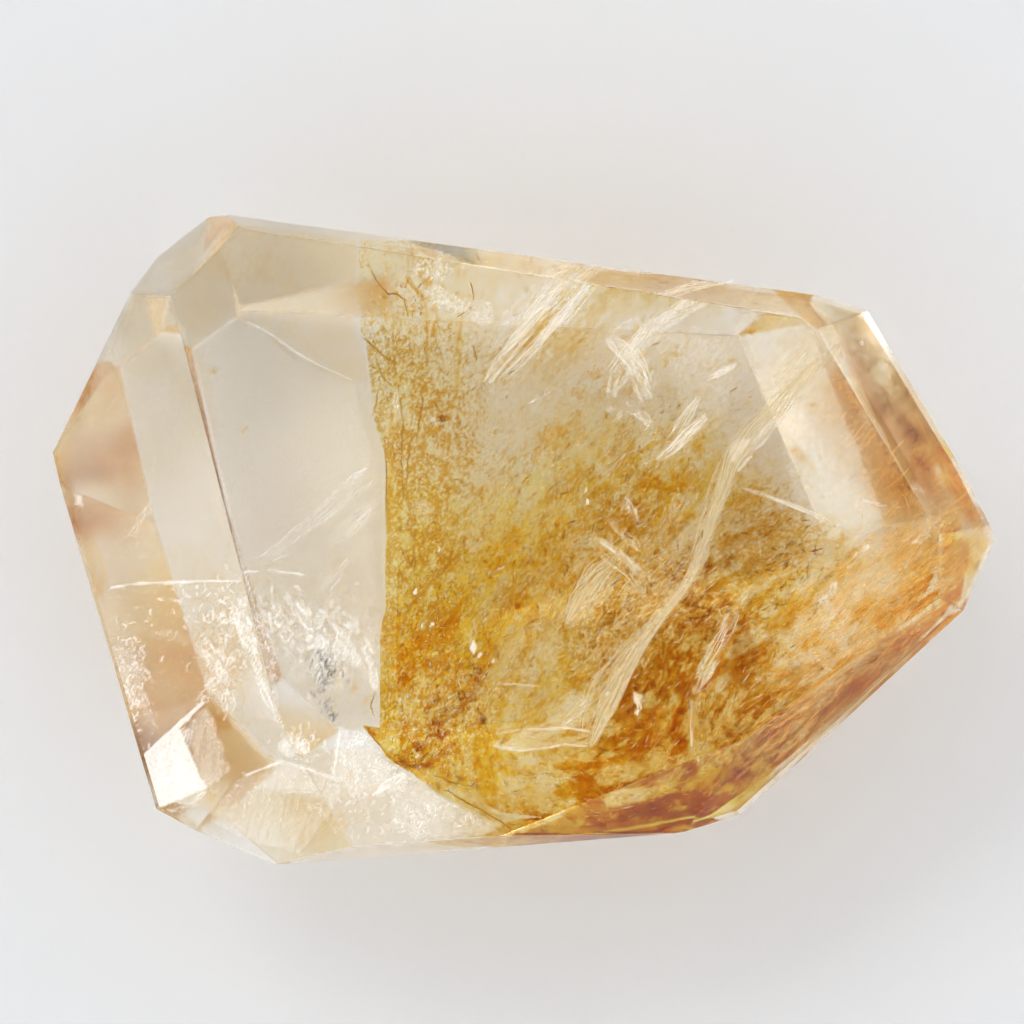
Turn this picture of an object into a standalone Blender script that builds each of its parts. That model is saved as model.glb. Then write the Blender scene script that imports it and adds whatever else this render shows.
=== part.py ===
# Clear quartz freeform: one natural piece of rock crystal, sawn and polished
# into flat facets all round, lying on its broad polished underside.
#
# Row frame: metres, +Z up, X along the length (the pointed end is at +X), Y
# across, origin at the middle of the outline on the plane it rests on.
#
# The stone is one convex body. It starts as a plain block that is cut by
# one plane for each polished facet. The drawing units below are millimetres.
import bpy
import bmesh
from math import radians, sin, cos
from mathutils import Vector

# ---------------------------------------------------------------- dimensions
MM = 0.001
LENGTH = 89.0          # between the left corner and the pointed end
WIDTH = 61.0           # across the outline
THICK = 33.0           # from the rest face to the table
SPARE = 1.4            # the starting block is this many times as large

# Corners of the table, the large upper facet: x, y
T_LEFT_TOP = (-32.6, 22.8)
T_TOP_LEFT = (-26.0, 29.1)
T_TOP_RIGHT = (25.7, 20.8)
T_RIGHT_TOP = (27.3, 19.7)
T_RIGHT = (38.7, 0.7)
T_TIP = (38.7, -5.2)
T_LOW_RIGHT = (20.7, -18.3)
T_LOW = (-1.9, -27.3)
T_BOTTOM = (-15.0, -29.4)
T_BOTTOM_LEFT = (-22.5, -17.0)

# Corners of the outline, where the upper facets meet the lower ones: x, y
G_LEFT = (-44.8, 7.9)
G_LEFT_TOP_LOW = (-36.6, 23.1)
G_LEFT_TOP = (-35.9, 25.2)
G_TOP_LEFT = (-29.2, 30.3)
G_TOP_START = (-26.3, 30.45)
G_TOP_END = (26.6, 23.75)
G_RIGHT_TOP = (32.45, 21.8)
G_RIGHT = (41.25, 7.0)
G_TIP_TOP = (44.4, 0.7)
G_TIP_LOW = (44.4, -0.85)
G_TIP_END = (41.95, -5.75)
G_LOW_RIGHT = (20.5, -25.9)
G_LOW = (15.6, -27.15)
G_BOTTOM = (-23.0, -30.55)
G_BOTTOM_LEFT = (-30.8, -27.3)
G_CORNER_LOW = (-35.0, -25.3)
G_CORNER = (-36.4, -20.8)

# Fall of each upper facet below the horizontal, in degrees
FALL_LEFT = 38.0
FALL_LEFT_TOP = 45.0
FALL_TOP = 60.0
FALL_RIGHT_TOP = 57.0
FALL_RIGHT = 52.0
FALL_TIP = 50.0
FALL_LOW_RIGHT = 50.0
FALL_LOW = 37.5
FALL_BOTTOM = 75.0

# Undercut of the side facets from the vertical, in degrees
UNDER_CORNER_TOP = 15.0
UNDER_TOP_LEFT = 15.0
UNDER_TOP = 15.0
UNDER_RIGHT_TOP = 13.0
UNDER_RIGHT_UPPER = 15.0
UNDER_RIGHT = 18.0
UNDER_TIP = 24.0
UNDER_TIP_LOW = 30.0
UNDER_LOW_RIGHT = 27.0
UNDER_BOTTOM = 25.0
UNDER_BOTTOM_LEFT = 18.0
UNDER_CORNER_LOW = 20.0
UNDER_CORNER = 34.0

# Corners of the rest face, the large facet the stone lies on: x, y
R_LEFT = (-28.6, 3.5)
R_LEFT_TOP = (-32.1, 19.4)
R_TOP = (-27.0, 21.3)
R_TOP_END = (-16.5, 15.6)
R_LOW_END = (-15.3, -10.9)
R_LOW = (-23.2, -13.2)
R_CORNER = (-18.6, -15.3)

# Rise of the facets around the rest face above the horizontal, in degrees
RISE_LEFT = 56.5
RISE_LEFT_TOP = 55.5
RISE_CORNER = 52.0
RISE_TOP = 30.0
RISE_LOW = 24.0
# The facet under the right end, by three points: x, y, z
RIGHT_UNDER = ((20.5, 21.8, 14.0), (31.1, -0.5, 6.0), (32.0, 9.0, 14.5))


# ------------------------------------------------------------------ geometry
def out_of(a, b):
    """Unit plan direction out of the stone for the edge a to b, taken
    clockwise as seen from above."""
    d = Vector((b[0] - a[0], b[1] - a[1]))
    d.normalize()
    return Vector((-d.y, d.x))


def upper(a, b, fall):
    """A facet falling outward from the table edge a to b."""
    n = out_of(a, b)
    f = radians(fall)
    return Vector((a[0], a[1], THICK)), Vector((n.x * sin(f), n.y * sin(f), cos(f)))


def height(plane, p):
    """Height of a plane above the plan point p."""
    at, n = plane
    return at.z - (n.x * (p[0] - at.x) + n.y * (p[1] - at.y)) / n.z


def side(a, b, plane_a, plane_b, under):
    """A facet running in under the outline edge a to b, whose ends lie on
    the two upper facets named."""
    pa = Vector((a[0], a[1], height(plane_a, a)))
    pb = Vector((b[0], b[1], height(plane_b, b)))
    out = out_of(a, b)
    u = radians(under)
    inward = Vector((-out.x * sin(u), -out.y * sin(u), -cos(u)))
    n = (pb - pa).cross(inward)
    n.normalize()
    if n.x * out.x + n.y * out.y < 0.0:
        n.negate()
    return pa, n


def under_edge(a, b, rise):
    """A shallow facet rising outward from the rest-plane edge a to b."""
    n = out_of(a, b)
    r = radians(rise)
    return Vector((a[0], a[1], 0.0)), Vector((n.x * sin(r), n.y * sin(r), -cos(r)))


def through(p, q, r):
    """The plane through three points, facing down."""
    p, q, r = Vector(p), Vector(q), Vector(r)
    n = (q - p).cross(r - p)
    n.normalize()
    if n.z > 0.0:
        n.negate()
    return p, n


LEFT = upper(T_BOTTOM_LEFT, T_LEFT_TOP, FALL_LEFT)
LEFT_TOP = upper(T_LEFT_TOP, T_TOP_LEFT, FALL_LEFT_TOP)
TOP = upper(T_TOP_LEFT, T_TOP_RIGHT, FALL_TOP)
RIGHT_TOP = upper(T_TOP_RIGHT, T_RIGHT_TOP, FALL_RIGHT_TOP)
RIGHT = upper(T_RIGHT_TOP, T_RIGHT, FALL_RIGHT)
TIP = upper(T_RIGHT, T_TIP, FALL_TIP)
LOW_RIGHT = upper(T_TIP, T_LOW_RIGHT, FALL_LOW_RIGHT)
LOW = upper(T_LOW_RIGHT, T_LOW, FALL_LOW)
BOTTOM = upper(T_LOW, (-23.2, -28.9), FALL_BOTTOM)
# The gently sloping facet at the lower left leaves the table at its corner
# and meets the left bevel along a line down to the outline.
FRONT_LEFT = through(
    (T_BOTTOM_LEFT[0], T_BOTTOM_LEFT[1], THICK),
    (-29.9, -26.1, height(LEFT, (-29.9, -26.1))),
    (T_BOTTOM[0], T_BOTTOM[1], THICK),
)
FRONT_LEFT = (FRONT_LEFT[0], -FRONT_LEFT[1])

UPPER = [LEFT, LEFT_TOP, TOP, RIGHT_TOP, RIGHT, TIP, LOW_RIGHT, LOW, BOTTOM, FRONT_LEFT]

def on(plane, p):
    """The point of a plane above the plan point p."""
    return (p[0], p[1], height(plane, p))


def flat(p):
    return (p[0], p[1], 0.0)


SIDES = [
    through(on(LEFT, G_LEFT), on(LEFT, G_LEFT_TOP_LOW), flat(R_LEFT_TOP)),
    side(G_LEFT_TOP, G_TOP_LEFT, LEFT_TOP, LEFT_TOP, UNDER_CORNER_TOP),
    side(G_TOP_LEFT, G_TOP_START, LEFT_TOP, LEFT_TOP, UNDER_TOP_LEFT),
    side(G_TOP_START, G_TOP_END, TOP, TOP, UNDER_TOP),
    side(G_TOP_END, G_RIGHT_TOP, RIGHT_TOP, RIGHT_TOP, UNDER_RIGHT_TOP),
    side(G_RIGHT_TOP, G_RIGHT, RIGHT, RIGHT, UNDER_RIGHT_UPPER),
    side(G_RIGHT, G_TIP_TOP, RIGHT, RIGHT, UNDER_RIGHT),
    side(G_TIP_TOP, G_TIP_LOW, TIP, TIP, UNDER_TIP),
    side(G_TIP_LOW, G_TIP_END, TIP, TIP, UNDER_TIP_LOW),
    side(G_TIP_END, G_LOW_RIGHT, LOW_RIGHT, LOW_RIGHT, UNDER_LOW_RIGHT),
    side(G_LOW, G_BOTTOM, LOW, FRONT_LEFT, UNDER_BOTTOM),
    side(G_BOTTOM, G_BOTTOM_LEFT, FRONT_LEFT, FRONT_LEFT, UNDER_BOTTOM_LEFT),
    side(G_BOTTOM_LEFT, G_CORNER_LOW, LEFT, LEFT, UNDER_CORNER_LOW),
    side(G_CORNER_LOW, G_CORNER, LEFT, LEFT, UNDER_CORNER),
    under_edge(R_LOW, R_LEFT, RISE_LEFT),
    under_edge(R_LEFT, R_LEFT_TOP, RISE_LEFT_TOP),
]

LOWER = [
    under_edge(R_CORNER, R_LOW, RISE_CORNER),
    under_edge(R_TOP, R_TOP_END, RISE_TOP),
    under_edge(R_LOW_END, R_LOW, RISE_LOW),
    through(*RIGHT_UNDER),
]


def start_block(bm):
    """The rough block, from the rest plane up to the table."""
    bmesh.ops.create_cube(bm, size=1.0)
    for v in bm.verts:
        v.co.x *= LENGTH * SPARE
        v.co.y *= WIDTH * SPARE
        v.co.z = (v.co.z + 0.5) * THICK


def cut(bm, plane):
    """Take away what is outside one facet's plane and close the cut."""
    at, n = plane
    geom = bm.verts[:] + bm.edges[:] + bm.faces[:]
    res = bmesh.ops.bisect_plane(
        bm, geom=geom, dist=1e-6, plane_co=at, plane_no=n, clear_outer=True
    )
    rim = [e for e in res["geom_cut"] if isinstance(e, bmesh.types.BMEdge)]
    if rim:
        bmesh.ops.contextual_create(bm, geom=rim)


def build():
    for o in list(bpy.data.objects):
        bpy.data.objects.remove(o, do_unlink=True)

    bm = bmesh.new()
    start_block(bm)
    for plane in UPPER + SIDES + LOWER:
        cut(bm, plane)
    bmesh.ops.remove_doubles(bm, verts=bm.verts[:], dist=0.02)
    bmesh.ops.dissolve_limit(
        bm, angle_limit=radians(0.05), verts=bm.verts[:], edges=bm.edges[:]
    )
    # The origin goes to the middle of the outline, on the rest plane.
    mid_x = (min(v.co.x for v in bm.verts) + max(v.co.x for v in bm.verts)) / 2.0
    mid_y = (min(v.co.y for v in bm.verts) + max(v.co.y for v in bm.verts)) / 2.0
    bmesh.ops.translate(bm, vec=(-mid_x, -mid_y, 0.0), verts=bm.verts[:])
    bmesh.ops.scale(bm, vec=(MM, MM, MM), verts=bm.verts[:])
    bmesh.ops.recalc_face_normals(bm, faces=bm.faces[:])
    mesh = bpy.data.meshes.new("quartz_freeform")
    bm.to_mesh(mesh)
    bm.free()

    stone = bpy.data.objects.new("quartz_freeform", mesh)
    bpy.context.scene.collection.objects.link(stone)

    mat = bpy.data.materials.new("clear_quartz")
    mat.use_nodes = True
    shader = mat.node_tree.nodes["Principled BSDF"]
    shader.inputs["Base Color"].default_value = (0.93, 0.86, 0.74, 1.0)
    shader.inputs["Roughness"].default_value = 0.05
    shader.inputs["IOR"].default_value = 1.544
    shader.inputs["Transmission Weight"].default_value = 0.9
    mesh.materials.append(mat)
    return stone


build()
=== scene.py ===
# Clear quartz freeform: the polished stone with everything that is sealed in it.
# Lengths below are millimetres in the row frame unless a name says otherwise.
import math

import bmesh
import bpy
import numpy as np
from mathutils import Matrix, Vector
from mathutils.geometry import delaunay_2d_cdt


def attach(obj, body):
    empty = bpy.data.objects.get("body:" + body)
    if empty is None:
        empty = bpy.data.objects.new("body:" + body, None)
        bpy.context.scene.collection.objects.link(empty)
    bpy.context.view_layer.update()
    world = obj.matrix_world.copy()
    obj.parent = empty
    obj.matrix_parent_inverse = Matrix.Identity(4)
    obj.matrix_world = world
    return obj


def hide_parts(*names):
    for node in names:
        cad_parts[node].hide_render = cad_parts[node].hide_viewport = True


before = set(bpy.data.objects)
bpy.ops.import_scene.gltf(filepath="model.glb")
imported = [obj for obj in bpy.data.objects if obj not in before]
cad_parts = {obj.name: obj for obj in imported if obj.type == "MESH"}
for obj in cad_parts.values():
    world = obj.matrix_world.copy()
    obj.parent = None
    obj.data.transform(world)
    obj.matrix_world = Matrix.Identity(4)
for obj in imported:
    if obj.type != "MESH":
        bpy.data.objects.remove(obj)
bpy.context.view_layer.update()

MM = 0.001
QUARTZ_IOR = 1.544
TABLE = 33.0            # height of the large upper facet
SEED = 20261123
rng = np.random.default_rng(SEED)

# ------------------------------------------------------------------- the view
# The photo looks straight down. One picture unit below is 1/1024 of the view's
# width, counted from its upper left corner.
EYE = np.array([-0.851, 2.692, 531.0])
FOCUS_Z = 31.0
VIEW_WIDTH = 95.3548    # the width seen at FOCUS_Z
UNIT = VIEW_WIDTH / 1024.0
REACH = EYE[2] - FOCUS_Z

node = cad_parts["quartz_freeform"]
walls = {}
for poly in node.data.polygons:
    n = np.array(poly.normal)
    d = float(n @ np.array(poly.center)) / MM
    walls[tuple(np.round(n, 3))] = (n, d)
WALL_N = np.array([w[0] for w in walls.values()])
WALL_D = np.array([w[1] for w in walls.values()])


def room(x, y):
    """Lowest and highest height inside the stone above plan points."""
    x, y = np.asarray(x, float), np.asarray(y, float)
    low, high = np.full(x.shape, -1e3), np.full(x.shape, 1e3)
    for n, d in zip(WALL_N, WALL_D):
        z = (d - n[0] * x - n[1] * y) / (n[2] if abs(n[2]) > 1e-6 else 1e-6)
        if n[2] > 1e-6:
            high = np.minimum(high, z)
        elif n[2] < -1e-6:
            low = np.maximum(low, z)
    return low, high


def beneath(px, py, z):
    """Plan place of a point at height z that shows at a picture place through
    the table."""
    s = (REACH - (TABLE - FOCUS_Z)) / REACH
    s = s * (1.0 + (TABLE - np.asarray(z, float)) / (QUARTZ_IOR * (REACH - 2.0)))
    x = EYE[0] + (np.asarray(px, float) - 512.0) * UNIT * s
    y = EYE[1] + (512.0 - np.asarray(py, float)) * UNIT * s
    return x, y


def sight(px, py):
    """Where each picture place's line of sight enters the stone, its direction
    inside and its length there, through whichever facet it meets."""
    px, py = np.atleast_1d(np.asarray(px, float)), np.atleast_1d(np.asarray(py, float))
    goal = np.stack(
        [EYE[0] + (px - 512.0) * UNIT, EYE[1] + (512.0 - py) * UNIT, np.full(px.shape, FOCUS_Z)], 1
    )
    d = goal - EYE
    d /= np.linalg.norm(d, axis=1)[:, None]
    dn = d @ WALL_N.T
    t = (WALL_D - WALL_N @ EYE)[None, :] / np.where(np.abs(dn) < 1e-9, 1e-9, dn)
    t_in = np.where(dn < -1e-9, t, -1e9)
    hit = t_in.argmax(1)
    t0 = t_in.max(1)
    p = EYE + d * t0[:, None]
    n = WALL_N[hit]
    c = -(d * n).sum(1)
    eta = 1.0 / QUARTZ_IOR
    k = np.sqrt(np.maximum(0.0, 1.0 - eta * eta * (1.0 - c * c)))
    r = eta * d + (eta * c - k)[:, None] * n
    rn = r @ WALL_N.T
    away = (WALL_D[None, :] - p @ WALL_N.T) / np.where(np.abs(rn) < 1e-9, 1e-9, rn)
    away = np.where(rn > 1e-9, away, 1e9)
    return p, r, np.maximum(away.min(1), 0.0), hit


def within(px, py, depth, margin=0.35):
    """Points at a depth (mm along the line of sight) under picture places."""
    p, r, length, _ = sight(px, py)
    s = np.clip(np.broadcast_to(np.asarray(depth, float), length.shape), margin, np.maximum(length - margin, margin))
    q = p + r * s[:, None]
    # Places at the very rim are drawn back inside the facets
    for _ in range(3):
        for n, d in zip(WALL_N, WALL_D):
            q = q - np.clip(q @ n - (d - 0.06), 0, None)[:, None] * n
    return q



# --------------------------------------------------------------------- shapes
def made(name, verts, faces, material, smooth=False, rides=True):
    me = bpy.data.meshes.new(name)
    verts = np.asarray(verts, np.float32) * MM
    if isinstance(faces, np.ndarray) and faces.shape[1] == 3:
        me.vertices.add(len(verts))
        me.vertices.foreach_set("co", verts.ravel())
        me.loops.add(faces.size)
        me.loops.foreach_set("vertex_index", faces.astype(np.int32).ravel())
        me.polygons.add(len(faces))
        me.polygons.foreach_set("loop_start", np.arange(0, faces.size, 3, dtype=np.int32))
        me.polygons.foreach_set("loop_total", np.full(len(faces), 3, np.int32))
        me.update(calc_edges=True)
    else:
        me.from_pydata([tuple(v) for v in verts], [], [tuple(f) for f in faces])
    me.validate()
    ob = bpy.data.objects.new(name, me)
    bpy.context.scene.collection.objects.link(ob)
    me.materials.append(material)
    if smooth:
        me.polygons.foreach_set("use_smooth", np.ones(len(me.polygons), bool))
    if rides:
        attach(ob, "root")
    return ob


def inside_outline(px, py, outline):
    """Whether picture places lie inside a closed outline."""
    o = np.asarray(outline, float)
    hit = np.zeros(px.shape, bool)
    for (x1, y1), (x2, y2) in zip(o, np.roll(o, -1, 0)):
        cross = (y1 > py) != (y2 > py)
        with np.errstate(divide="ignore", invalid="ignore"):
            at = (x2 - x1) * (py - y1) / (y2 - y1) + x1
        hit ^= cross & (px < at)
    return hit


def rim_distance(px, py, outline):
    o = np.asarray(outline, float)
    best = np.full(np.shape(px), 1e9)
    for a, b in zip(o, np.roll(o, -1, 0)):
        ab = b - a
        t = np.clip(((px - a[0]) * ab[0] + (py - a[1]) * ab[1]) / max(ab @ ab, 1e-9), 0, 1)
        best = np.minimum(best, np.hypot(px - a[0] - t * ab[0], py - a[1] - t * ab[1]))
    return best


def net(outline, step):
    """Triangles that fill an outline, with inner points a step apart."""
    o = np.asarray(outline, float)
    lo, hi = o.min(0), o.max(0)
    xs, ys = np.arange(lo[0], hi[0], step), np.arange(lo[1], hi[1], step * 0.866)
    gx, gy = np.meshgrid(xs, ys)
    gx = gx + (np.arange(len(ys)) % 2)[:, None] * step * 0.5
    gx, gy = gx.ravel(), gy.ravel()
    keep = inside_outline(gx, gy, o)
    gx, gy = gx[keep], gy[keep]
    far = rim_distance(gx, gy, o) > step * 0.45
    pts = np.concatenate([o, np.stack([gx[far], gy[far]], 1)])
    verts, _, faces, _, _, _ = delaunay_2d_cdt(
        [Vector((p[0], p[1])) for p in pts], [], [list(range(len(o)))], 1, 1e-4
    )
    verts = np.array([tuple(v) for v in verts])
    faces = np.array([tuple(f) for f in faces], int)
    # Counter-clockwise as seen in the row frame, where the picture's y runs down
    a, b, c = verts[faces[:, 0]], verts[faces[:, 1]], verts[faces[:, 2]]
    area = (b[:, 0] - a[:, 0]) * (c[:, 1] - a[:, 1]) - (b[:, 1] - a[:, 1]) * (c[:, 0] - a[:, 0])
    faces[area > 0] = faces[area > 0][:, ::-1]
    return verts, faces


def waves(px, py, size, seed, octaves=3):
    """Smooth, seeded unevenness from -1 to 1 over the picture."""
    g = np.random.default_rng(SEED * 7 + seed)
    total = np.zeros(np.shape(px))
    amp, norm = 1.0, 0.0
    for o in range(octaves):
        for _ in range(4):
            a, ph = g.uniform(0, 2 * math.pi, 2)
            f = 2 * math.pi / (size * g.uniform(0.75, 1.4)) * 2**o
            total = total + amp * np.sin((px * math.cos(a) + py * math.sin(a)) * f + ph)
        norm += amp * 2.2
        amp *= 0.55
    return total / norm


def spot(px, py, cx, cy, rx, ry, turn=0.0, edge=1.0):
    """1 in the middle of an ellipse, falling off smoothly past its rim. turn is
    in degrees, counter-clockwise as seen."""
    a = math.radians(turn)
    dx, dy = px - cx, -(py - cy)
    u = (dx * math.cos(a) + dy * math.sin(a)) / rx
    v = (-dx * math.sin(a) + dy * math.cos(a)) / ry
    return np.exp(-np.power(np.maximum(u * u + v * v, 1e-12), edge))


def flat_map(me, px, py, name="OFBake"):
    """A map laid out like the view, so that a bake has an even scale."""
    lo = np.array([px.min(), py.min()])
    span = max(px.max() - lo[0], py.max() - lo[1])
    uv = np.stack([(px - lo[0]) / span, 1.0 - (py - lo[1]) / span], 1)
    idx = np.empty(len(me.loops), np.int32)
    me.loops.foreach_get("vertex_index", idx)
    layer = me.uv_layers.new(name=name)
    layer.uv.foreach_set("vector", uv[idx].astype(np.float32).ravel())


def paint(me, name, values):
    values = np.asarray(values, np.float32)
    if values.ndim == 1:
        at = me.attributes.new(name, "FLOAT", "POINT")
        at.data.foreach_set("value", values)
    else:
        at = me.attributes.new(name, "FLOAT_COLOR", "POINT")
        at.data.foreach_set("color", np.concatenate([values, np.ones((len(values), 1), np.float32)], 1).ravel())


def level(height, margin=0.45):
    """Places on a surface whose height is given over the picture, seen through
    the table, and kept inside the stone."""

    def place(px, py):
        z = np.broadcast_to(height(px, py), np.shape(px)).astype(float)
        for _ in range(3):
            x, y = beneath(px, py, z)
            low, high = room(x, y)
            z = np.clip(z, np.minimum(low + margin, (low + high) / 2), np.maximum(high - margin, (low + high) / 2))
        return np.stack([x, y, z], 1)

    return place


# Directions of the fibres over the picture: x, y, degrees counter-clockwise
GRAIN = np.array([
    (400, 330, 82), (400, 550, 88), (430, 450, 80), (470, 600, 62), (450, 750, 75), (560, 560, 60),
    (600, 440, 55), (640, 600, 48), (700, 480, 60), (690, 700, 70), (760, 620, 35), (850, 600, 32),
    (900, 560, 38), (820, 700, 38), (760, 760, 32), (650, 800, 12), (560, 790, 2), (520, 820, -30),
    (620, 330, 45), (720, 380, 40), (880, 450, 118), (940, 480, 122), (230, 680, 85), (320, 540, 50),
    (760, 540, 20), (170, 560, 80), (500, 300, 55),
], float)


def lie(px, py):
    """The angle, in radians, that fibres lie at."""
    px, py = np.asarray(px, float), np.asarray(py, float)
    w = 1.0 / (((px[..., None] - GRAIN[:, 0]) ** 2 + (py[..., None] - GRAIN[:, 1]) ** 2) + 900.0) ** 1.5
    a = np.radians(GRAIN[:, 2]) * 2
    return 0.5 * np.arctan2((w * np.sin(a)).sum(-1), (w * np.cos(a)).sum(-1))


LATTICE = np.random.default_rng(SEED + 99).uniform(-1, 1, (256, 256))


def speckle(x, y, shift=0):
    """Smooth random values, one to a unit square, for plan or picture places."""
    x, y = np.asarray(x, float) + shift * 17.31, np.asarray(y, float) + shift * 41.77
    i, j = np.floor(x).astype(int), np.floor(y).astype(int)
    u, v = x - i, y - j
    u, v = u * u * (3 - 2 * u), v * v * (3 - 2 * v)
    a, b = LATTICE[i % 256, j % 256], LATTICE[(i + 1) % 256, j % 256]
    c, d = LATTICE[i % 256, (j + 1) % 256], LATTICE[(i + 1) % 256, (j + 1) % 256]
    return (a * (1 - u) + b * u) * (1 - v) + (c * (1 - u) + d * u) * v


def cloud(px, py, size, shift=0, octaves=4, rough=0.55):
    """Cloudy unevenness, about -1 to 1, whose largest features are size wide."""
    total, amp, norm = 0.0, 1.0, 0.0
    for o in range(octaves):
        total = total + amp * speckle(px / size * 2**o, py / size * 2**o, shift + 7 * o)
        norm += amp * 0.55
        amp *= rough
    return total / norm


def fibres(px, py, width, length, shift=0, turn=0.0, steps=13):
    """Streaks of that width and length that follow the stone's fibres."""
    total = np.zeros(np.shape(px))
    for sign in (1.0, -1.0):
        x, y = np.array(px, float), np.array(py, float)
        for k in range(steps):
            total += speckle(x / width, y / width, shift) * (1.0 - 0.6 * k / steps)
            a = lie(x, y) + math.radians(turn)
            x = x + sign * np.cos(a) * length / steps / 2
            y = y - sign * np.sin(a) * length / steps / 2
    return total / (0.33 * (2 * steps * 0.7) ** 0.5 * max(1.0, (width / (length / steps / 2)) ** 0.5))


def stained_sheet(name, outline, step, height, material, tint, cut=None, place=None, least=None, parted=False):
    """A finely divided surface inside the stone whose tint is worked out at
    every point of it. A parted one stops at the edges of the facets over it."""
    o = np.asarray(outline, float)
    lo, hi = o.min(0), o.max(0)
    nx, ny = int((hi[0] - lo[0]) / step) + 2, int((hi[1] - lo[1]) / step) + 2
    gx, gy = np.meshgrid(lo[0] + np.arange(nx) * step, lo[1] + np.arange(ny) * step)
    gx, gy = gx.ravel(), gy.ravel()
    # Grid points just outside are drawn onto the outline, so that it is sharp
    inner = inside_outline(gx, gy, o)
    near = np.zeros(len(gx), bool)
    cand = np.where(~inner)[0]
    d = rim_distance(gx[cand], gy[cand], o)
    near[cand[d < step * 0.75]] = True
    bx, by = gx.copy(), gy.copy()
    idx = np.where(near)[0]
    best, qx, qy = np.full(len(idx), 1e9), gx[idx].copy(), gy[idx].copy()
    for a, b in zip(o, np.roll(o, -1, 0)):
        ab = b - a
        t = np.clip(((gx[idx] - a[0]) * ab[0] + (gy[idx] - a[1]) * ab[1]) / max(ab @ ab, 1e-9), 0, 1)
        cx, cy = a[0] + t * ab[0], a[1] + t * ab[1]
        dd = np.hypot(gx[idx] - cx, gy[idx] - cy)
        w = dd < best
        best[w], qx[w], qy[w] = dd[w], cx[w], cy[w]
    bx[idx], by[idx] = qx, qy
    use = inner | near
    cells = np.arange((ny - 1) * nx).reshape(ny - 1, nx)[:, :-1].ravel()
    tri = np.concatenate([
        np.stack([cells, cells + nx, cells + 1], 1),
        np.stack([cells + 1, cells + nx, cells + nx + 1], 1),
    ])
    tri = tri[use[tri].all(1) & inner[tri].any(1)]
    if least is not None:
        shown = np.zeros(len(gx), bool)
        at = np.unique(tri)
        shown[at] = cut(bx[at], by[at]) > least
        tri = tri[shown[tri].any(1)]
    if parted:
        facet = sight(bx, by)[3]
        tri = tri[(facet[tri] == facet[tri][:, :1]).all(1)]
    used = np.unique(tri)
    remap = np.full(len(gx), -1)
    remap[used] = np.arange(len(used))
    tri, px, py = remap[tri], bx[used], by[used]
    points, tints = (place or level(height))(px, py), np.clip(tint(px, py), 0, 1) ** 2
    cover = None if cut is None else np.clip(cut(px, py), 0, 1)
    # A sheet of very many triangles is laid out as two, side by side
    middle = px[tri].mean(1)
    halves = [np.ones(len(tri), bool)] if len(tri) < 185000 else [middle <= np.median(middle), middle > np.median(middle)]
    for k, half in enumerate(halves):
        at, back = np.unique(tri[half], return_inverse=True)
        ob = made(name if len(halves) == 1 else f"{name}_{'ab'[k]}", points[at], back.reshape(-1, 3), material, smooth=True)
        paint(ob.data, "tint", tints[at])
        if cover is not None:
            paint(ob.data, "cover", cover[at])
        flat_map(ob.data, px[at], py[at])


def chips(name, centre, along, length, width, tone, material, flat=0.9, roll=60.0):
    """Many tiny closed slivers joined in one piece. tone runs from 0 to 1 and
    picks each one's colour."""
    n = len(centre)
    along = along / np.linalg.norm(along, axis=1)[:, None]
    v = np.cross(along, np.array([0.0, 0.0, 1.0]))
    v /= np.maximum(np.linalg.norm(v, axis=1)[:, None], 1e-6)
    w = np.cross(v, along)
    r = np.radians(rng.normal(0, roll, n))[:, None]
    v, w = v * np.cos(r) + w * np.sin(r), w * np.cos(r) - v * np.sin(r)
    L, W = length[:, None] / 2, width[:, None] / 2
    pts = np.stack([centre + along * L, centre - along * L, centre + v * W, centre - 0.6 * v * W + w * W * flat], 1)
    low, high = room(pts[..., 0], pts[..., 1])
    ok = ((pts[..., 2] > low + 0.12) & (pts[..., 2] < high - 0.12)).all(1)
    pts, tone = pts[ok], tone[ok]
    n = len(pts)
    base = np.arange(n)[:, None] * 4
    tri = np.array([(0, 2, 3), (1, 3, 2), (0, 3, 1), (0, 1, 2)])
    faces = (base[:, :, None] + tri[None]).reshape(-1, 3)
    # Make each sliver's faces look outwards
    a, b, c, d = pts[:, 0], pts[:, 1], pts[:, 2], pts[:, 3]
    sign = np.einsum("ij,ij->i", np.cross(c - a, d - a), b - a)
    flip = np.repeat(sign > 0, 4)
    faces[flip] = faces[flip][:, ::-1]
    ob = made(name, pts.reshape(-1, 3), faces, material)
    me = ob.data
    idx = np.empty(len(me.loops), np.int32)
    me.loops.foreach_get("vertex_index", idx)
    t = np.repeat(tone, 4)
    wob = rng.uniform(-0.012, 0.012, (len(t), 2))
    uv = np.stack([np.clip(t + wob[:, 0], 0.004, 0.996), np.clip(np.repeat(rng.uniform(0.03, 0.97, n), 4) + wob[:, 1], 0.004, 0.996)], 1)[idx]
    for key in ("tone", "OFBake"):
        layer = me.uv_layers.new(name=key)
        layer.uv.foreach_set("vector", uv.astype(np.float32).ravel())
    return ob


def scatter(n, density, box, seed):
    """n picture places, thickest where density is highest."""
    g = np.random.default_rng(SEED * 3 + seed)
    xs, ys, have = [], [], 0
    while have < n:
        x, y = g.uniform(box[0], box[2], n * 2), g.uniform(box[1], box[3], n * 2)
        keep = g.uniform(0, 1, n * 2) < np.clip(density(x, y), 0, 1)
        xs.append(x[keep]); ys.append(y[keep]); have += int(keep.sum())
        if len(xs) > 60:
            break
    x, y = np.concatenate(xs)[:n], np.concatenate(ys)[:n]
    return x, y, g


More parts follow.
